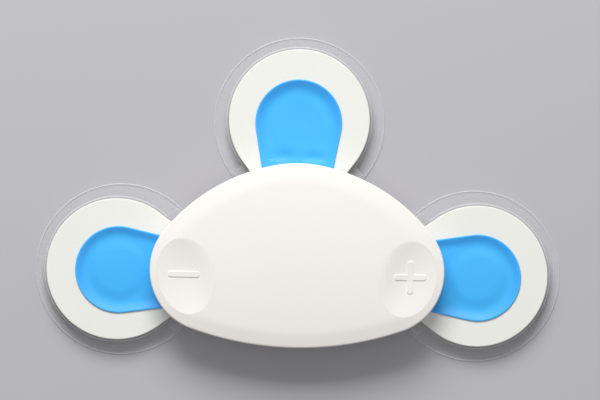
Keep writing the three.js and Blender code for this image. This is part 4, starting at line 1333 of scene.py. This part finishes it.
@dataclass
class CaseScrew:
    """A cross-head screw sunk in the belly."""

    node: str
    head_radius: float = 2.2
    head_height: float = 1.5
    shank_radius: float = 1.1
    edge: float = 0.3
    sides: int = 40
    slot_width: float = 0.7
    slot_length: float = 2.8
    slot_depth: float = 0.8
    slot_turn: float = 0.5

    def centre(self) -> Vector:
        """Returns the screw's place in plan, in metres."""
        low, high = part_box(self.node)
        return (low + high) / 2

    def build(self) -> None:
        """Builds and dresses the screw."""
        base, tip = levels(self.node)
        neck, centre = base + self.head_height, self.centre()
        profile = rounded_profile([
            (0, base, 0), (self.head_radius, base, self.edge), (self.head_radius, neck, 0),
            (self.shank_radius, neck, 0), (self.shank_radius, tip, self.edge), (0, tip, 0),
        ])
        piece = new_object(revolved(profile, centre, self.sides), f"{self.node}_turned")
        half = Vector((self.slot_length / 2 * MM, self.slot_width / 2 * MM, 0))
        mouth = Vector((centre.x, centre.y, (base - self.slot_depth) * MM))
        end = Vector((centre.x, centre.y, (base + self.slot_depth) * MM))
        for turn in (self.slot_turn, self.slot_turn + QUARTER_TURN):
            carve(piece, [block(mouth - half, end + half, turn)])
        finish_piece(piece, "housing", SCREW_STEEL, self.node, even=True)


@dataclass
class Housing:
    """The case with its keys, door, screws and everything inside."""

    plan: EggPlan
    skin: TopSkin
    screw_count: int = 4
    inside: tuple[tuple[str, Finish], ...] = (
        ("case_gasket", SEAL_RUBBER), ("door_seal", SEAL_RUBBER),
        ("minus_switch", CHIP_BLACK), ("plus_switch", CHIP_BLACK),
        ("minus_switch_plunger", SEAL_RUBBER), ("plus_switch_plunger", SEAL_RUBBER),
        ("circuit_board", BOARD_GREEN), ("radio_shield", NICKEL), ("front_end_chip", CHIP_BLACK),
        ("coin_cell", CELL_STEEL), ("battery_plus_contact", SPRING_BRASS),
        ("battery_minus_contact", SPRING_BRASS),
    )

    def build(self, studs: list[Vector]) -> None:
        """Builds the case in order.

        Args:
            studs: where the snap studs stand under it.
        """
        keys = [ThumbKey(self.skin, sign) for sign in KeySign]
        screws = [CaseScrew(f"case_screw_{k + 1}") for k in range(self.screw_count)]
        TopCover(self.skin, keys).build()
        for key in keys:
            key.build()
        BottomCover(self.plan).build(studs, [screw.centre() for screw in screws])
        BatteryDoor(self.plan).build()
        for screw in screws:
            screw.build()
        for node, finish in self.inside:
            dress_node(node, finish)


# Pads.


class PadSide(enum.Enum):
    """Where a pad sits, and how far its drawing is turned so that its tab runs to the case."""

    LEFT = 0.0
    RIGHT = math.pi
    TOP = -QUARTER_TURN

    def named(self, what: str) -> str:
        """Returns the name of something that belongs to the pad."""
        return f"{self.name.lower()}_{what}"


@dataclass(frozen=True)
class DishShape:
    """How a film sinks from its rim: a slope along its edge, a raised middle and a rise to the tab."""

    rim: float = 0.5
    straight: float = 1.3
    curve: float = 2.4
    slope: float = 0.39
    ring_outer: float = 11.3
    ring_inner: float = 7.0
    ring_rise: float = 0.42
    dome_rise: float = 0.1
    rise_start: float = 13.5
    rise_end: float = 19.5
    ramp: float = 0.0
    ramp_start: float = -8.0
    ramp_end: float = 13.5
    folds: tuple[tuple[float, float], ...] = ()
    fold_at: float = 13.2
    fold_run: float = 0.5
    fold_rise: float = 0.17
    fold_fade: float = 1.6
    dents: tuple[tuple[float, float, float, float, float], ...] = ()

    def fall(self, inset: float) -> float:
        """Returns how deep the slope along the edge has come at an inset."""
        run = max(inset - self.rim, 0.0)
        bend = min(max(run - self.straight, 0.0), self.curve)
        return self.slope * (min(run, self.straight) + bend - bend**2 / (2 * self.curve))

    def middle_rise(self, radius: float) -> float:
        """Returns how far the middle stands above the valley at a distance from it."""
        ring = ease((self.ring_outer - radius) / (self.ring_outer - self.ring_inner))
        return self.ring_rise * ring + self.dome_rise * max(1 - (radius / self.ring_inner) ** 2, 0.0)

    def fold(self, along: float, across: float) -> float:
        """Returns the height of the small folds where the dish runs out into the tab."""
        step = ease((along - self.fold_at) / self.fold_run)
        shown = sum(
            ease((across - low) / self.fold_fade) * ease((high - across) / self.fold_fade)
            for low, high in self.folds
        )
        return self.fold_rise * step * shown

    def dent(self, along: float, across: float) -> float:
        """Returns the depth of the soft dents in front of the folds."""
        return sum(
            depth * math.exp(-(((along - at) / half_length) ** 2) - ((across - side) / half_width) ** 2)
            for at, side, half_length, half_width, depth in self.dents
        )

    def drop(self, inset: float, along: float, across: float) -> float:
        """Finds how far the film lies below its rim.

        Args:
            inset: how far inside the film's edge the point is.
            along: its distance from the dish's middle along the tab.
            across: its distance from it across the tab.

        Returns:
            The depth.
        """
        sunk = max(self.fall(inset) - self.middle_rise(math.hypot(along, across)), 0.0)
        ramped = min(max((along - self.ramp_start) / (self.ramp_end - self.ramp_start), 0.0), 1.0)
        sunk = sunk * (1 - self.ramp * ramped) - min(self.fold(along, across), sunk)
        sunk += self.dent(along, across) if inset > self.rim else 0.0
        return max(sunk, 0.0) * (1 - ease((along - self.rise_start) / (self.rise_end - self.rise_start)))


@dataclass(frozen=True)
class PadFit:
    """How a pad and its layers lie, each a little off the drawing as a hand lays it."""

    swivel: float
    film_middle: tuple[float, float]
    film_lean: float
    liner_shift: float
    dish: DishShape = DishShape()
    wedge_half_angle: float = math.radians(47)


TOP_DISH = DishShape(
    straight=0.9, curve=4.4, slope=0.46, ring_outer=12.5, ring_inner=8.0, ring_rise=0.2, dome_rise=0.0,
    ramp=0.65, folds=((-11.0, -3.6), (0.8, 10.2)), fold_rise=0.3, fold_run=0.6,
    dents=((12.1, -4.6, 2.1, 3.6, 0.62), (12.3, 5.8, 1.8, 4.2, 0.52)),
)
PAD_FITS = {
    PadSide.LEFT: PadFit(0.0, (0.6, -0.2), math.radians(-2.7), 1.34),
    PadSide.RIGHT: PadFit(math.radians(-1.5), (-0.2, 0.6), 0.0, 0.91),
    PadSide.TOP: PadFit(0.0, (1.1, -0.2), math.radians(-0.7), 1.1, TOP_DISH, math.radians(50.5)),
}


@dataclass
class PadPlace:
    """Places points of a pad's drawing, whose middle is at its origin with the case on its +X side."""

    side: PadSide
    stud_offset: float = 25.0

    @property
    def fit(self) -> PadFit:
        """Returns how the pad and its layers lie."""
        return PAD_FITS[self.side]

    @property
    def stud(self) -> Vector:
        """Returns where the pad's snap stud stands."""
        return joint_place(self.side.named("pad_swivel"))

    def place(self, x: float, y: float, z: float) -> Vector:
        """Returns a point of the drawing in the scene's frame, in metres."""
        turn, stud = self.side.value + self.fit.swivel, self.stud
        out = x - self.stud_offset
        return Vector((
            stud.x + (out * math.cos(turn) - y * math.sin(turn)) * MM,
            stud.y + (out * math.sin(turn) + y * math.cos(turn)) * MM,
            z * MM,
        ))

    def ring(self, turns: list[float], reaches: list[float], height: float) -> Ring:
        """Returns a level ring from a direction and a distance for each of its points."""
        return [self.place(r * math.cos(a), r * math.sin(a), height) for a, r in zip(turns, reaches)]


@dataclass(frozen=True)
class TabPlan:
    """A round plan with a narrower tab to the case: the hull of two circles on the X axis."""

    radius: float
    tab_radius: float
    tab_middle: float
    halvings: int = 40

    def depth(self, x: float, y: float) -> float:
        """Returns how far outside the plan a point is, negative inside."""
        slope = (self.radius - self.tab_radius) / self.tab_middle
        rise = math.sqrt(1 - slope**2)
        across = abs(y)
        reach = x * rise - across * slope
        if reach < 0:
            return math.hypot(x, across) - self.radius
        if reach > rise * self.tab_middle:
            return math.hypot(x - self.tab_middle, across) - self.tab_radius
        return across * rise + x * slope - self.radius

    def reach(self, direction: float, inset: float) -> float:
        """Finds how far the plan's edge is from its middle.

        Args:
            direction: the direction to look in.
            inset: how far inside the edge to stop.

        Returns:
            The distance.
        """
        near, far = 0.0, self.radius + self.tab_middle + self.tab_radius
        for _ in range(self.halvings):
            middle = (near + far) / 2
            outside = self.depth(middle * math.cos(direction), middle * math.sin(direction)) + inset
            near, far = (middle, far) if outside < 0 else (near, middle)
        return near

    def reaches(self, turns: list[float], inset: float) -> list[float]:
        """Returns how far the plan's edge is in each of these directions."""
        return [self.reach(direction, inset) for direction in turns]


@dataclass
class BlueCover:
    """The blue film over the middle of a pad: a dished disc whose tab runs under the case."""

    at: PadPlace
    plan: TabPlan = TabPlan(15.4, 11.5, 21.7)
    top: float = 6.0
    thickness: float = 0.4
    edge: float = 0.26
    edge_steps: int = 5
    bore: float = 1.2
    bore_cut: tuple[float, float] = (4.0, 7.5)
    bore_sides: int = 24
    sides: int = 224
    radii: tuple[float, ...] = (1.5, 3.0, 4.5, 6.0, 7.0, 7.8, 8.2, 8.6, 9.0, 9.4, 9.8, 10.2)
    fine_reach: float = 17.5
    fine_margin: float = 0.5
    fine_rings: int = 38
    far_rings: int = 5

    def drop_at(self, x: float, y: float) -> float:
        """Returns how far the film lies below its rim at a point of the pad's drawing."""
        fit = self.at.fit
        out, up = x - fit.film_middle[0], y - fit.film_middle[1]
        along = out * math.cos(fit.film_lean) + up * math.sin(fit.film_lean)
        across = up * math.cos(fit.film_lean) - out * math.sin(fit.film_lean)
        return fit.dish.drop(-self.plan.depth(along, across), along, across)

    def _spot(self, direction: float, radius: float) -> tuple[float, float]:
        """Returns the point of the drawing at a direction and distance about the dish's middle."""
        (x, y), turned = self.at.fit.film_middle, direction + self.at.fit.film_lean
        return x + radius * math.cos(turned), y + radius * math.sin(turned)

    def _distances(self, inset: float) -> list[list[float]]:
        """Spaces the rings from the dish's middle to the edge, closer together over the dish.

        Args:
            inset: how far inside the edge they end.

        Returns:
            For each ring its distance in each direction.
        """
        edges = self.plan.reaches(around(self.sides), inset)
        fine = [min(edge - self.fine_margin, self.fine_reach) for edge in edges]
        start = [self.radii[-1]] * self.sides
        rings = [[radius] * self.sides for radius in self.radii]
        for inner, outer, count in ((start, fine, self.fine_rings), (fine, edges, self.far_rings)):
            for share in steps_between(0, 1, count)[1:]:
                rings.append([mix(near, far, share) for near, far in zip(inner, outer)])
        return rings

    def _face(self, down: float, inset: float) -> list[Ring]:
        """Makes the rings of one face, from the middle out to its edge.

        Args:
            down: how far the face lies below the film's top.
            inset: how far inside the plan it ends.

        Returns:
            The rings.
        """
        rings = []
        for distances in ([0.0] * self.sides, *self._distances(inset)):
            spots = [self._spot(a, distance) for a, distance in zip(around(self.sides), distances)]
            rings.append([self.at.place(*spot, self.top - down - self.drop_at(*spot)) for spot in spots])
        return rings

    def build(self) -> None:
        """Builds and dresses the film."""
        side, turns = self.at.side, around(self.sides)
        rings = self._face(0, self.edge)
        for short, up in quarter_round(self.edge, self.edge_steps)[1:]:
            spots = [self._spot(a, reach) for a, reach in zip(turns, self.plan.reaches(turns, short))]
            rings.append([self.at.place(*spot, self.top - up) for spot in spots])
        rings += reversed(self._face(self.thickness, 0))
        piece = new_object(laid_over(rings), side.named("blue_dish"))
        carve(piece, [post(self.at.stud, self.bore, *self.bore_cut, self.bore_sides)])
        finish_piece(piece, side.named("electrode"), BLUE_FILM, side.named("blue_cover"), SOFT_ANGLE)


@dataclass
class PrintedLead:
    """The printed silver lead under a film: a disc over the gel, a strip and an eye at the stud."""

    film: BlueCover
    disc_radius: float = 6.5
    eye_radius: float = 3.4
    width: float = 4.0
    thickness: float = 0.2
    clearance: float = 0.05
    long_steps: int = 90
    wide_steps: int = 10

    def half_width(self, x: float) -> float:
        """Returns half the lead's width at a distance along it."""
        stud = self.film.at.stud_offset
        disc = math.sqrt(max(self.disc_radius**2 - x**2, 0.0))
        eye = math.sqrt(max(self.eye_radius**2 - (x - stud) ** 2, 0.0))
        return max(disc, eye, self.width / 2 if 0 < x < stud else 0.0)

    def build(self) -> None:
        """Builds and dresses the lead."""
        at = self.film.at
        level = self.film.top - self.film.thickness - self.clearance
        rows = []
        for x in steps_between(-self.disc_radius, at.stud_offset + self.eye_radius, self.long_steps):
            half = self.half_width(x)
            across = steps_between(-half, half, self.wide_steps)
            rows.append([at.place(x, y, level - self.film.drop_at(x, y)) for y in across])
        piece = thickened(grid_over(rows), at.side.named("printed_lead"), self.thickness)
        finish_piece(piece, at.side.named("electrode"), SILVER_INK, at.side.named("sensor_lead"))


@dataclass
class FoamDisc:
    """The round foam pad, hollowed under the film and open over the gel."""

    at: PadPlace
    film: BlueCover
    plan: TabPlan = TabPlan(25.0, 11.0, 23.3)
    base: float = 3.5
    top: float = 5.5
    edge: float = 0.3
    low_steps: int = 4
    high_steps: int = 6
    gel_hole: float = 8.6
    gel_radius: float = 8.3
    gel_edge: float = 0.2
    gel_sides: int = 96
    stud_hole: float = 4.8
    stud_cut: tuple[float, float] = (2.5, 7.0)
    stud_sides: int = 48
    lead_width: float = 4.4
    lead_end: float = 3.8
    lead_groove: float = 0.35
    sides: int = 224
    top_rings: int = 44

    def _top_point(self, direction: float, radius: float) -> Vector:
        """Finds a point of the foam's top face, lower under the film and where the printed lead runs.

        Args:
            direction: the direction from the gel's middle.
            radius: the distance from it.

        Returns:
            The point.
        """
        x, y = radius * math.cos(direction), radius * math.sin(direction)
        on_strip = 0 < x < self.at.stud_offset and abs(y) < self.lead_width / 2
        on_end = math.hypot(x - self.at.stud_offset, y) < self.lead_end
        groove = self.lead_groove if on_strip or on_end else 0.0
        return self.at.place(x, y, self.top - self.film.drop_at(x, y) - groove)

    def build(self) -> None:
        """Builds and dresses the foam and the gel disc in it."""
        side, turns = self.at.side, around(self.sides)
        outer = self.plan.reaches(turns, self.edge)
        hole = [self.gel_hole] * self.sides
        rings = [self.at.ring(turns, reaches, self.base) for reaches in (hole, outer)]
        low_edge = [(short, self.base + up) for short, up in quarter_round(self.edge, self.low_steps)]
        high_edge = [(up, self.top - short) for short, up in quarter_round(self.edge, self.high_steps)]
        for inset, height in (*low_edge, *high_edge):
            rings.append(self.at.ring(turns, self.plan.reaches(turns, inset), height))
        for share in steps_between(1, 0, self.top_rings)[1:]:
            rings.append([
                self._top_point(a, mix(self.gel_hole, edge, share)) for a, edge in zip(turns, outer)
            ])
        foam = new_object(laid_over(rings, closed=True), side.named("foam_disc"))
        carve(foam, [post(self.at.stud, self.stud_hole, *self.stud_cut, self.stud_sides)])
        finish_piece(foam, side.named("electrode"), WHITE_FOAM, side.named("foam_pad"), SOFTER_ANGLE)
        self._gel()

    def _gel(self) -> None:
        """Builds and dresses the gel disc that fills the foam's hole."""
        side, radius, edge = self.at.side, self.gel_radius, self.gel_edge
        low, high = levels(side.named("gel_pad"))
        profile = rounded_profile([(0, low, 0), (radius, low, edge), (radius, high, edge), (0, high, 0)])
        turned = revolved(profile, self.at.place(0, 0, 0), self.gel_sides)
        piece = new_object(turned, side.named("gel_disc"))
        finish_piece(piece, side.named("electrode"), CLEAR_GEL, side.named("gel_pad"))


@dataclass
class ClearLiner:
    """The clear formed liner under a pad: a raised platform on a low rim."""

    at: PadPlace
    thickness: float = 0.4
    platform_height: float = 3.2
    platform_radius: float = 25.9
    platform_shares: tuple[float, ...] = (0.3, 0.6, 0.85, 0.95)
    outer_radius: float = 30.35
    rim_shares: tuple[float, ...] = (0.35, 0.7)
    wedge_inset: float = 0.9
    wedge_soft: float = math.radians(0.9)
    wedge_margin: float = 1.3
    corner: float = 0.3
    corner_steps: int = 5
    foot: float = 0.25
    foot_steps: int = 3
    bead: float = 0.2
    crease: float = 0.14
    bead_sides: int = 10
    fine_steps: int = 8
    sides: int = 200

    def _directions(self) -> list[float]:
        """Returns the directions round the liner, closer together at the sides of the wedge."""
        half, soft = self.at.fit.wedge_half_angle, self.wedge_soft * self.wedge_margin
        fine = steps_between(half - soft, half + soft, self.fine_steps)
        wedge = steps_between(-half + soft, half - soft, self.sides // 4)[1:-1]
        round_back = steps_between(half + soft, FULL_TURN - half - soft, self.sides * 3 // 4)[1:-1]
        return [*(-a for a in reversed(fine)), *wedge, *fine, *round_back]

    def _outer(self, direction: float) -> float:
        """Returns the distance from the pad's middle to the liner's outer edge."""
        shift = self.at.fit.liner_shift
        across = shift * math.sin(direction)
        return shift * math.cos(direction) + math.sqrt(self.outer_radius**2 - across**2)

    def _platform(self, direction: float) -> float:
        """Returns the distance from the pad's middle to the platform's edge."""
        folded = abs(math.atan2(math.sin(direction), math.cos(direction)))
        share = ease((self.at.fit.wedge_half_angle + self.wedge_soft - folded) / (2 * self.wedge_soft))
        return mix(self.platform_radius, self._outer(direction) - self.wedge_inset, share)

    def build(self) -> None:
        """Builds and dresses the liner as one formed sheet, with a bead along its edge and its crease; the
        beads' whiter, denser finish paints the highlight lines along them.
        """
        side, top, low = self.at.side, self.platform_height, self.thickness
        turns = self._directions()
        platform, outer = [self._platform(a) for a in turns], [self._outer(a) for a in turns]
        rim = [r - self.bead for r in outer]
        paths = [([r * share for r in platform], top) for share in (0.0, *self.platform_shares)]
        for short, up in quarter_round(self.corner, self.corner_steps):
            paths.append(([r - short for r in platform], top - up))
        for short, up in quarter_round(self.foot, self.foot_steps):
            paths.append(([r + up for r in platform], low + short))
        for share in self.rim_shares:
            paths.append(([mix(r + self.foot, end, share) for r, end in zip(platform, rim)], low))
        rings = [self.at.ring(turns, path, height) for path, height in (*paths, (rim, low))]
        piece = thickened(laid_over(rings), side.named("clear_liner"), self.thickness)
        # Painted highlight: the beads are raised lines, and their whiter, denser finish paints the light
        # lines that the sheet's edge and crease catch; the bead at the crease stands for the crease's
        # highlight.
        beads = (("bead", outer, low / 2, self.bead), ("crease", platform, top - self.crease, self.crease))
        for name, path, level, thick in beads:
            rings = []
            for angle in around(self.bead_sides):
                out, up = thick * (math.cos(angle) - 1), thick * math.sin(-angle)
                rings.append(self.at.ring(turns, [r + out for r in path], level + up))
            line = new_object(laid_over(rings, closed=True), side.named(f"liner_{name}"))
            finish_piece(line, side.named("liner"), CLEAR_EDGE_HIGHLIGHT, sharp=ROUND_ANGLE)
        stands_for = side.named("release_liner")
        finish_piece(piece, side.named("liner"), CLEAR_SHEET, stands_for, SOFTER_ANGLE, even=True)


@dataclass
class SnapFastener:
    """The turned snap stud of a pad and the turned socket in the case that takes it."""

    at: PadPlace
    stud_flange: float = 5.0
    stud_flange_thickness: float = 0.4
    stud_edges: tuple[float, float] = (0.1, 0.15)
    stud_neck: float = 1.55
    stud_neck_length: float = 1.3
    stud_neck_fillet: float = 0.2
    stud_head: float = 2.0
    stud_head_height: float = 1.5
    stud_head_start: float = -0.7 * QUARTER_TURN
    stud_head_steps: int = 12
    stud_sides: int = 64
    bore: float = 1.2
    bore_roof: float = 0.5
    socket_radius: float = 4.85
    socket_edges: tuple[float, float] = (0.25, 0.2)
    socket_flange: float = 6.2
    socket_flange_thickness: float = 0.7
    socket_shoulder: float = 8.5
    socket_bore: float = 2.3
    socket_bore_depth: float = 2.6
    socket_sides: int = 72
    groove_radius: float = 2.7
    groove_height: float = 0.7
    lead_in_radius: float = 2.9
    lead_in_depth: float = 0.3
    lead_in_edge: float = 0.1

    def build(self) -> None:
        """Builds and dresses the stud and the socket."""
        side, centre = self.at.side, self.at.stud
        turned = (
            (self._stud(), self.stud_sides, "turned_stud", side.named("electrode"), "snap_stud"),
            (self._socket(), self.socket_sides, "turned_socket", "housing", "snap_socket"),
        )
        for profile, sides, name, body, stands_for in turned:
            piece = new_object(revolved(profile, centre, sides), side.named(name))
            finish_piece(piece, body, NICKEL, side.named(stands_for))
        for name, finish in (
            ("snap_spring", SPRING_BRASS), ("socket_contact", SPRING_BRASS), ("stud_eyelet", NICKEL),
        ):
            dress_node(side.named(name), finish)

    def _stud(self) -> Profile:
        """Returns the stud's profile."""
        base, top = levels(self.at.side.named("snap_stud"))
        flange = base + self.stud_flange_thickness
        low_edge, high_edge = self.stud_edges
        profile = rounded_profile([
            (self.bore, base, 0), (self.stud_flange, base, low_edge), (self.stud_flange, flange, high_edge),
            (self.stud_neck, flange, self.stud_neck_fillet),
        ])
        half = self.stud_head_height / 2
        middle = flange + self.stud_neck_length + half
        for angle in steps_between(self.stud_head_start, QUARTER_TURN, self.stud_head_steps):
            radius = self.stud_head * math.cos(angle) if angle < QUARTER_TURN else 0.0
            profile.append((radius, middle + half * math.sin(angle)))
        return [*profile, (0, top - self.bore_roof), (self.bore, top - self.bore_roof)]

    def _socket(self) -> Profile:
        """Returns the socket's profile."""
        base, top = levels(self.at.side.named("snap_socket"))
        groove = sum(levels(self.at.side.named("snap_spring"))) / 2
        groove_low, groove_high = groove - self.groove_height / 2, groove + self.groove_height / 2
        bore_top = base + self.socket_bore_depth
        flange = self.socket_shoulder + self.socket_flange_thickness
        low_edge, high_edge = self.socket_edges
        return rounded_profile([
            (0, bore_top, 0), (self.socket_bore, bore_top, 0), (self.socket_bore, groove_high, 0),
            (self.groove_radius, groove_high, 0), (self.groove_radius, groove_low, 0),
            (self.socket_bore, groove_low, 0), (self.socket_bore, base + self.lead_in_depth, 0),
            (self.lead_in_radius, base, self.lead_in_edge), (self.socket_radius, base, low_edge),
            (self.socket_radius, self.socket_shoulder, 0), (self.socket_flange, self.socket_shoulder, 0),
            (self.socket_flange, flange, 0), (self.socket_radius, flange, 0),
            (self.socket_radius, top, high_edge), (0, top, 0),
        ])


@dataclass
class SnapPad:
    """One snap-on pad with its film, foam, gel, liner and snap fastener."""

    side: PadSide

    def build(self) -> None:
        """Builds the pad in order."""
        at = PadPlace(self.side)
        film = BlueCover(at)
        for layer in (film, PrintedLead(film), FoamDisc(at, film), ClearLiner(at), SnapFastener(at)):
            layer.build()


# Stage.


@dataclass
class Stage:
    """The pale floor, the soft light from the far side and the camera straight above.

    Its lengths are in metres.
    """

    floor_size: float = 6.0
    floor_segments: int = 8
    floor_clearance: float = 0.00005
    floor_colour: Colour = srgb(189, 188, 193)
    floor_shade: float = 0.985
    floor_scales: tuple[float, float] = (400, 3)
    floor_roughness: float = 0.9
    floor_gloss: float = 0.1
    world_strength: float = 0.37
    lamp_share: float = 0.7
    lamp_elevation: float = math.radians(39)
    lamp_distance: float = 1.3
    lamp_left: float = 0.16
    lamp_size: tuple[float, float] = (0.9, 0.6)
    view_width: float = 0.21276
    view_height: float = 2.4
    view_level: float = 0.0075
    view_reach: float = 20.0
    view_middle: tuple[float, float] = (0.000658, -0.000621)
    view_roll: float = math.radians(0.89)
    sensor_mm: float = 36.0

    def build(self) -> None:
        """Sets the floor, the light, the world and the camera."""
        self._floor()
        self._lamp()
        self._world()
        self._camera()
        bpy.context.scene.view_settings.view_transform = "Standard"

    def _floor(self) -> None:
        """Lays the floor, which stays under the lowest liner when a pad comes off the case."""
        mesh, count = bmesh.new(), self.floor_segments
        lowered = Matrix.Translation((0, 0, -self.floor_clearance))
        size = self.floor_size / 2
        bmesh.ops.create_grid(mesh, x_segments=count, y_segments=count, size=size, matrix=lowered)
        floor = new_object(mesh, "floor")
        bench = Bench("floor_paper")
        _, patch = bench.effect(MOULDED_GRAIN, *self.floor_scales)
        shade = (*(channel * self.floor_shade for channel in self.floor_colour[:3]), 1.0)
        colour = bench.blend(patch, shade, self.floor_colour)
        bench.set(Base_Color=colour, Roughness=self.floor_roughness, Specular_IOR_Level=self.floor_gloss)
        floor.data.materials.append(bench.result)
        for side in PadSide:
            under = floor.constraints.new("FLOOR")
            under.target = frame["bodies"][side.named("liner")]
            under.floor_location = "FLOOR_NEGATIVE_Z"
        floor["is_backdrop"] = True

    def _hang(self, data: bpy.types.ID, place: tuple[float, ...], turn: tuple[float, ...]) -> Piece:
        """Puts a lamp or a camera into the scene.

        Args:
            data: the lamp's or the camera's data.
            place: its place, in metres.
            turn: its turn about each axis.

        Returns:
            The object.
        """
        hung = bpy.data.objects.new(data.name, data)
        hung.location, hung.rotation_euler = place, turn
        bpy.context.scene.collection.objects.link(hung)
        return hung

    def _lamp(self) -> None:
        """Hangs the large soft lamp beyond the top of the picture."""
        light = bpy.data.lights.new("window", "AREA")
        light.shape = "RECTANGLE"
        light.size, light.size_y = self.lamp_size
        far, up = math.cos(self.lamp_elevation), math.sin(self.lamp_elevation)
        light.energy = self.lamp_share * math.pi**2 * self.lamp_distance**2 / up
        place = (-self.lamp_left, self.lamp_distance * far, self.lamp_distance * up)
        self._hang(light, place, (self.lamp_elevation - QUARTER_TURN, 0, 0))

    def _world(self) -> None:
        """Fills the room with even light, and shows a plain backdrop to the camera."""
        world = bpy.data.worlds.new("room")
        world.use_nodes = True
        tree = world.node_tree
        tree.nodes.clear()
        white = srgb(255, 255, 255)
        fill = add_node(tree, "ShaderNodeBackground", {"Color": white, "Strength": self.world_strength})
        shown = add_node(tree, "ShaderNodeBackground", {"Color": self.floor_colour, "Strength": 1})
        rays = add_node(tree, "ShaderNodeLightPath").outputs
        seen = rays["Is Camera Ray"]
        for ray in ("Is Glossy Ray", "Is Transmission Ray"):
            seen = add_node(tree, "ShaderNodeMath", {0: seen, 1: rays[ray]}, operation="MAXIMUM").outputs[0]
        choice = add_node(tree, "ShaderNodeMixShader", {0: seen, 1: fill.outputs[0], 2: shown.outputs[0]})
        add_node(tree, "ShaderNodeOutputWorld", {"Surface": choice.outputs[0]})
        bpy.context.scene.world = world

    def _camera(self) -> None:
        """Sets the camera straight above, with the photograph's width and roll."""
        data = bpy.data.cameras.new("camera")
        data.sensor_width = self.sensor_mm
        data.lens = self.sensor_mm * self.view_height / self.view_width
        data.clip_end = self.view_reach
        place = (*self.view_middle, self.view_height + self.view_level)
        bpy.context.scene.camera = self._hang(data, place, (0, 0, self.view_roll))


def write_sizes(solid_box: tuple[Vector, Vector]) -> None:
    """Gathers the corners of the box of the solids and of the box of the finished object, and does nothing
    more with them.

    Args:
        solid_box: the lowest and highest corner of the solids.
    """
    corners = [[list(corner) for corner in box] for box in (solid_box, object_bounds())]


def main() -> None:
    """Builds the stage, the housing and the three pads."""
    logging.basicConfig(level=logging.INFO, format="%(message)s")
    solid_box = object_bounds()
    Stage().build()
    plan = EggPlan()
    Housing(plan, TopSkin(plan)).build([PadPlace(side).stud for side in PadSide])
    for side in PadSide:
        SnapPad(side).build()
    bpy.context.view_layer.update()
    write_sizes(solid_box)


if __name__ == "__main__":
    main()
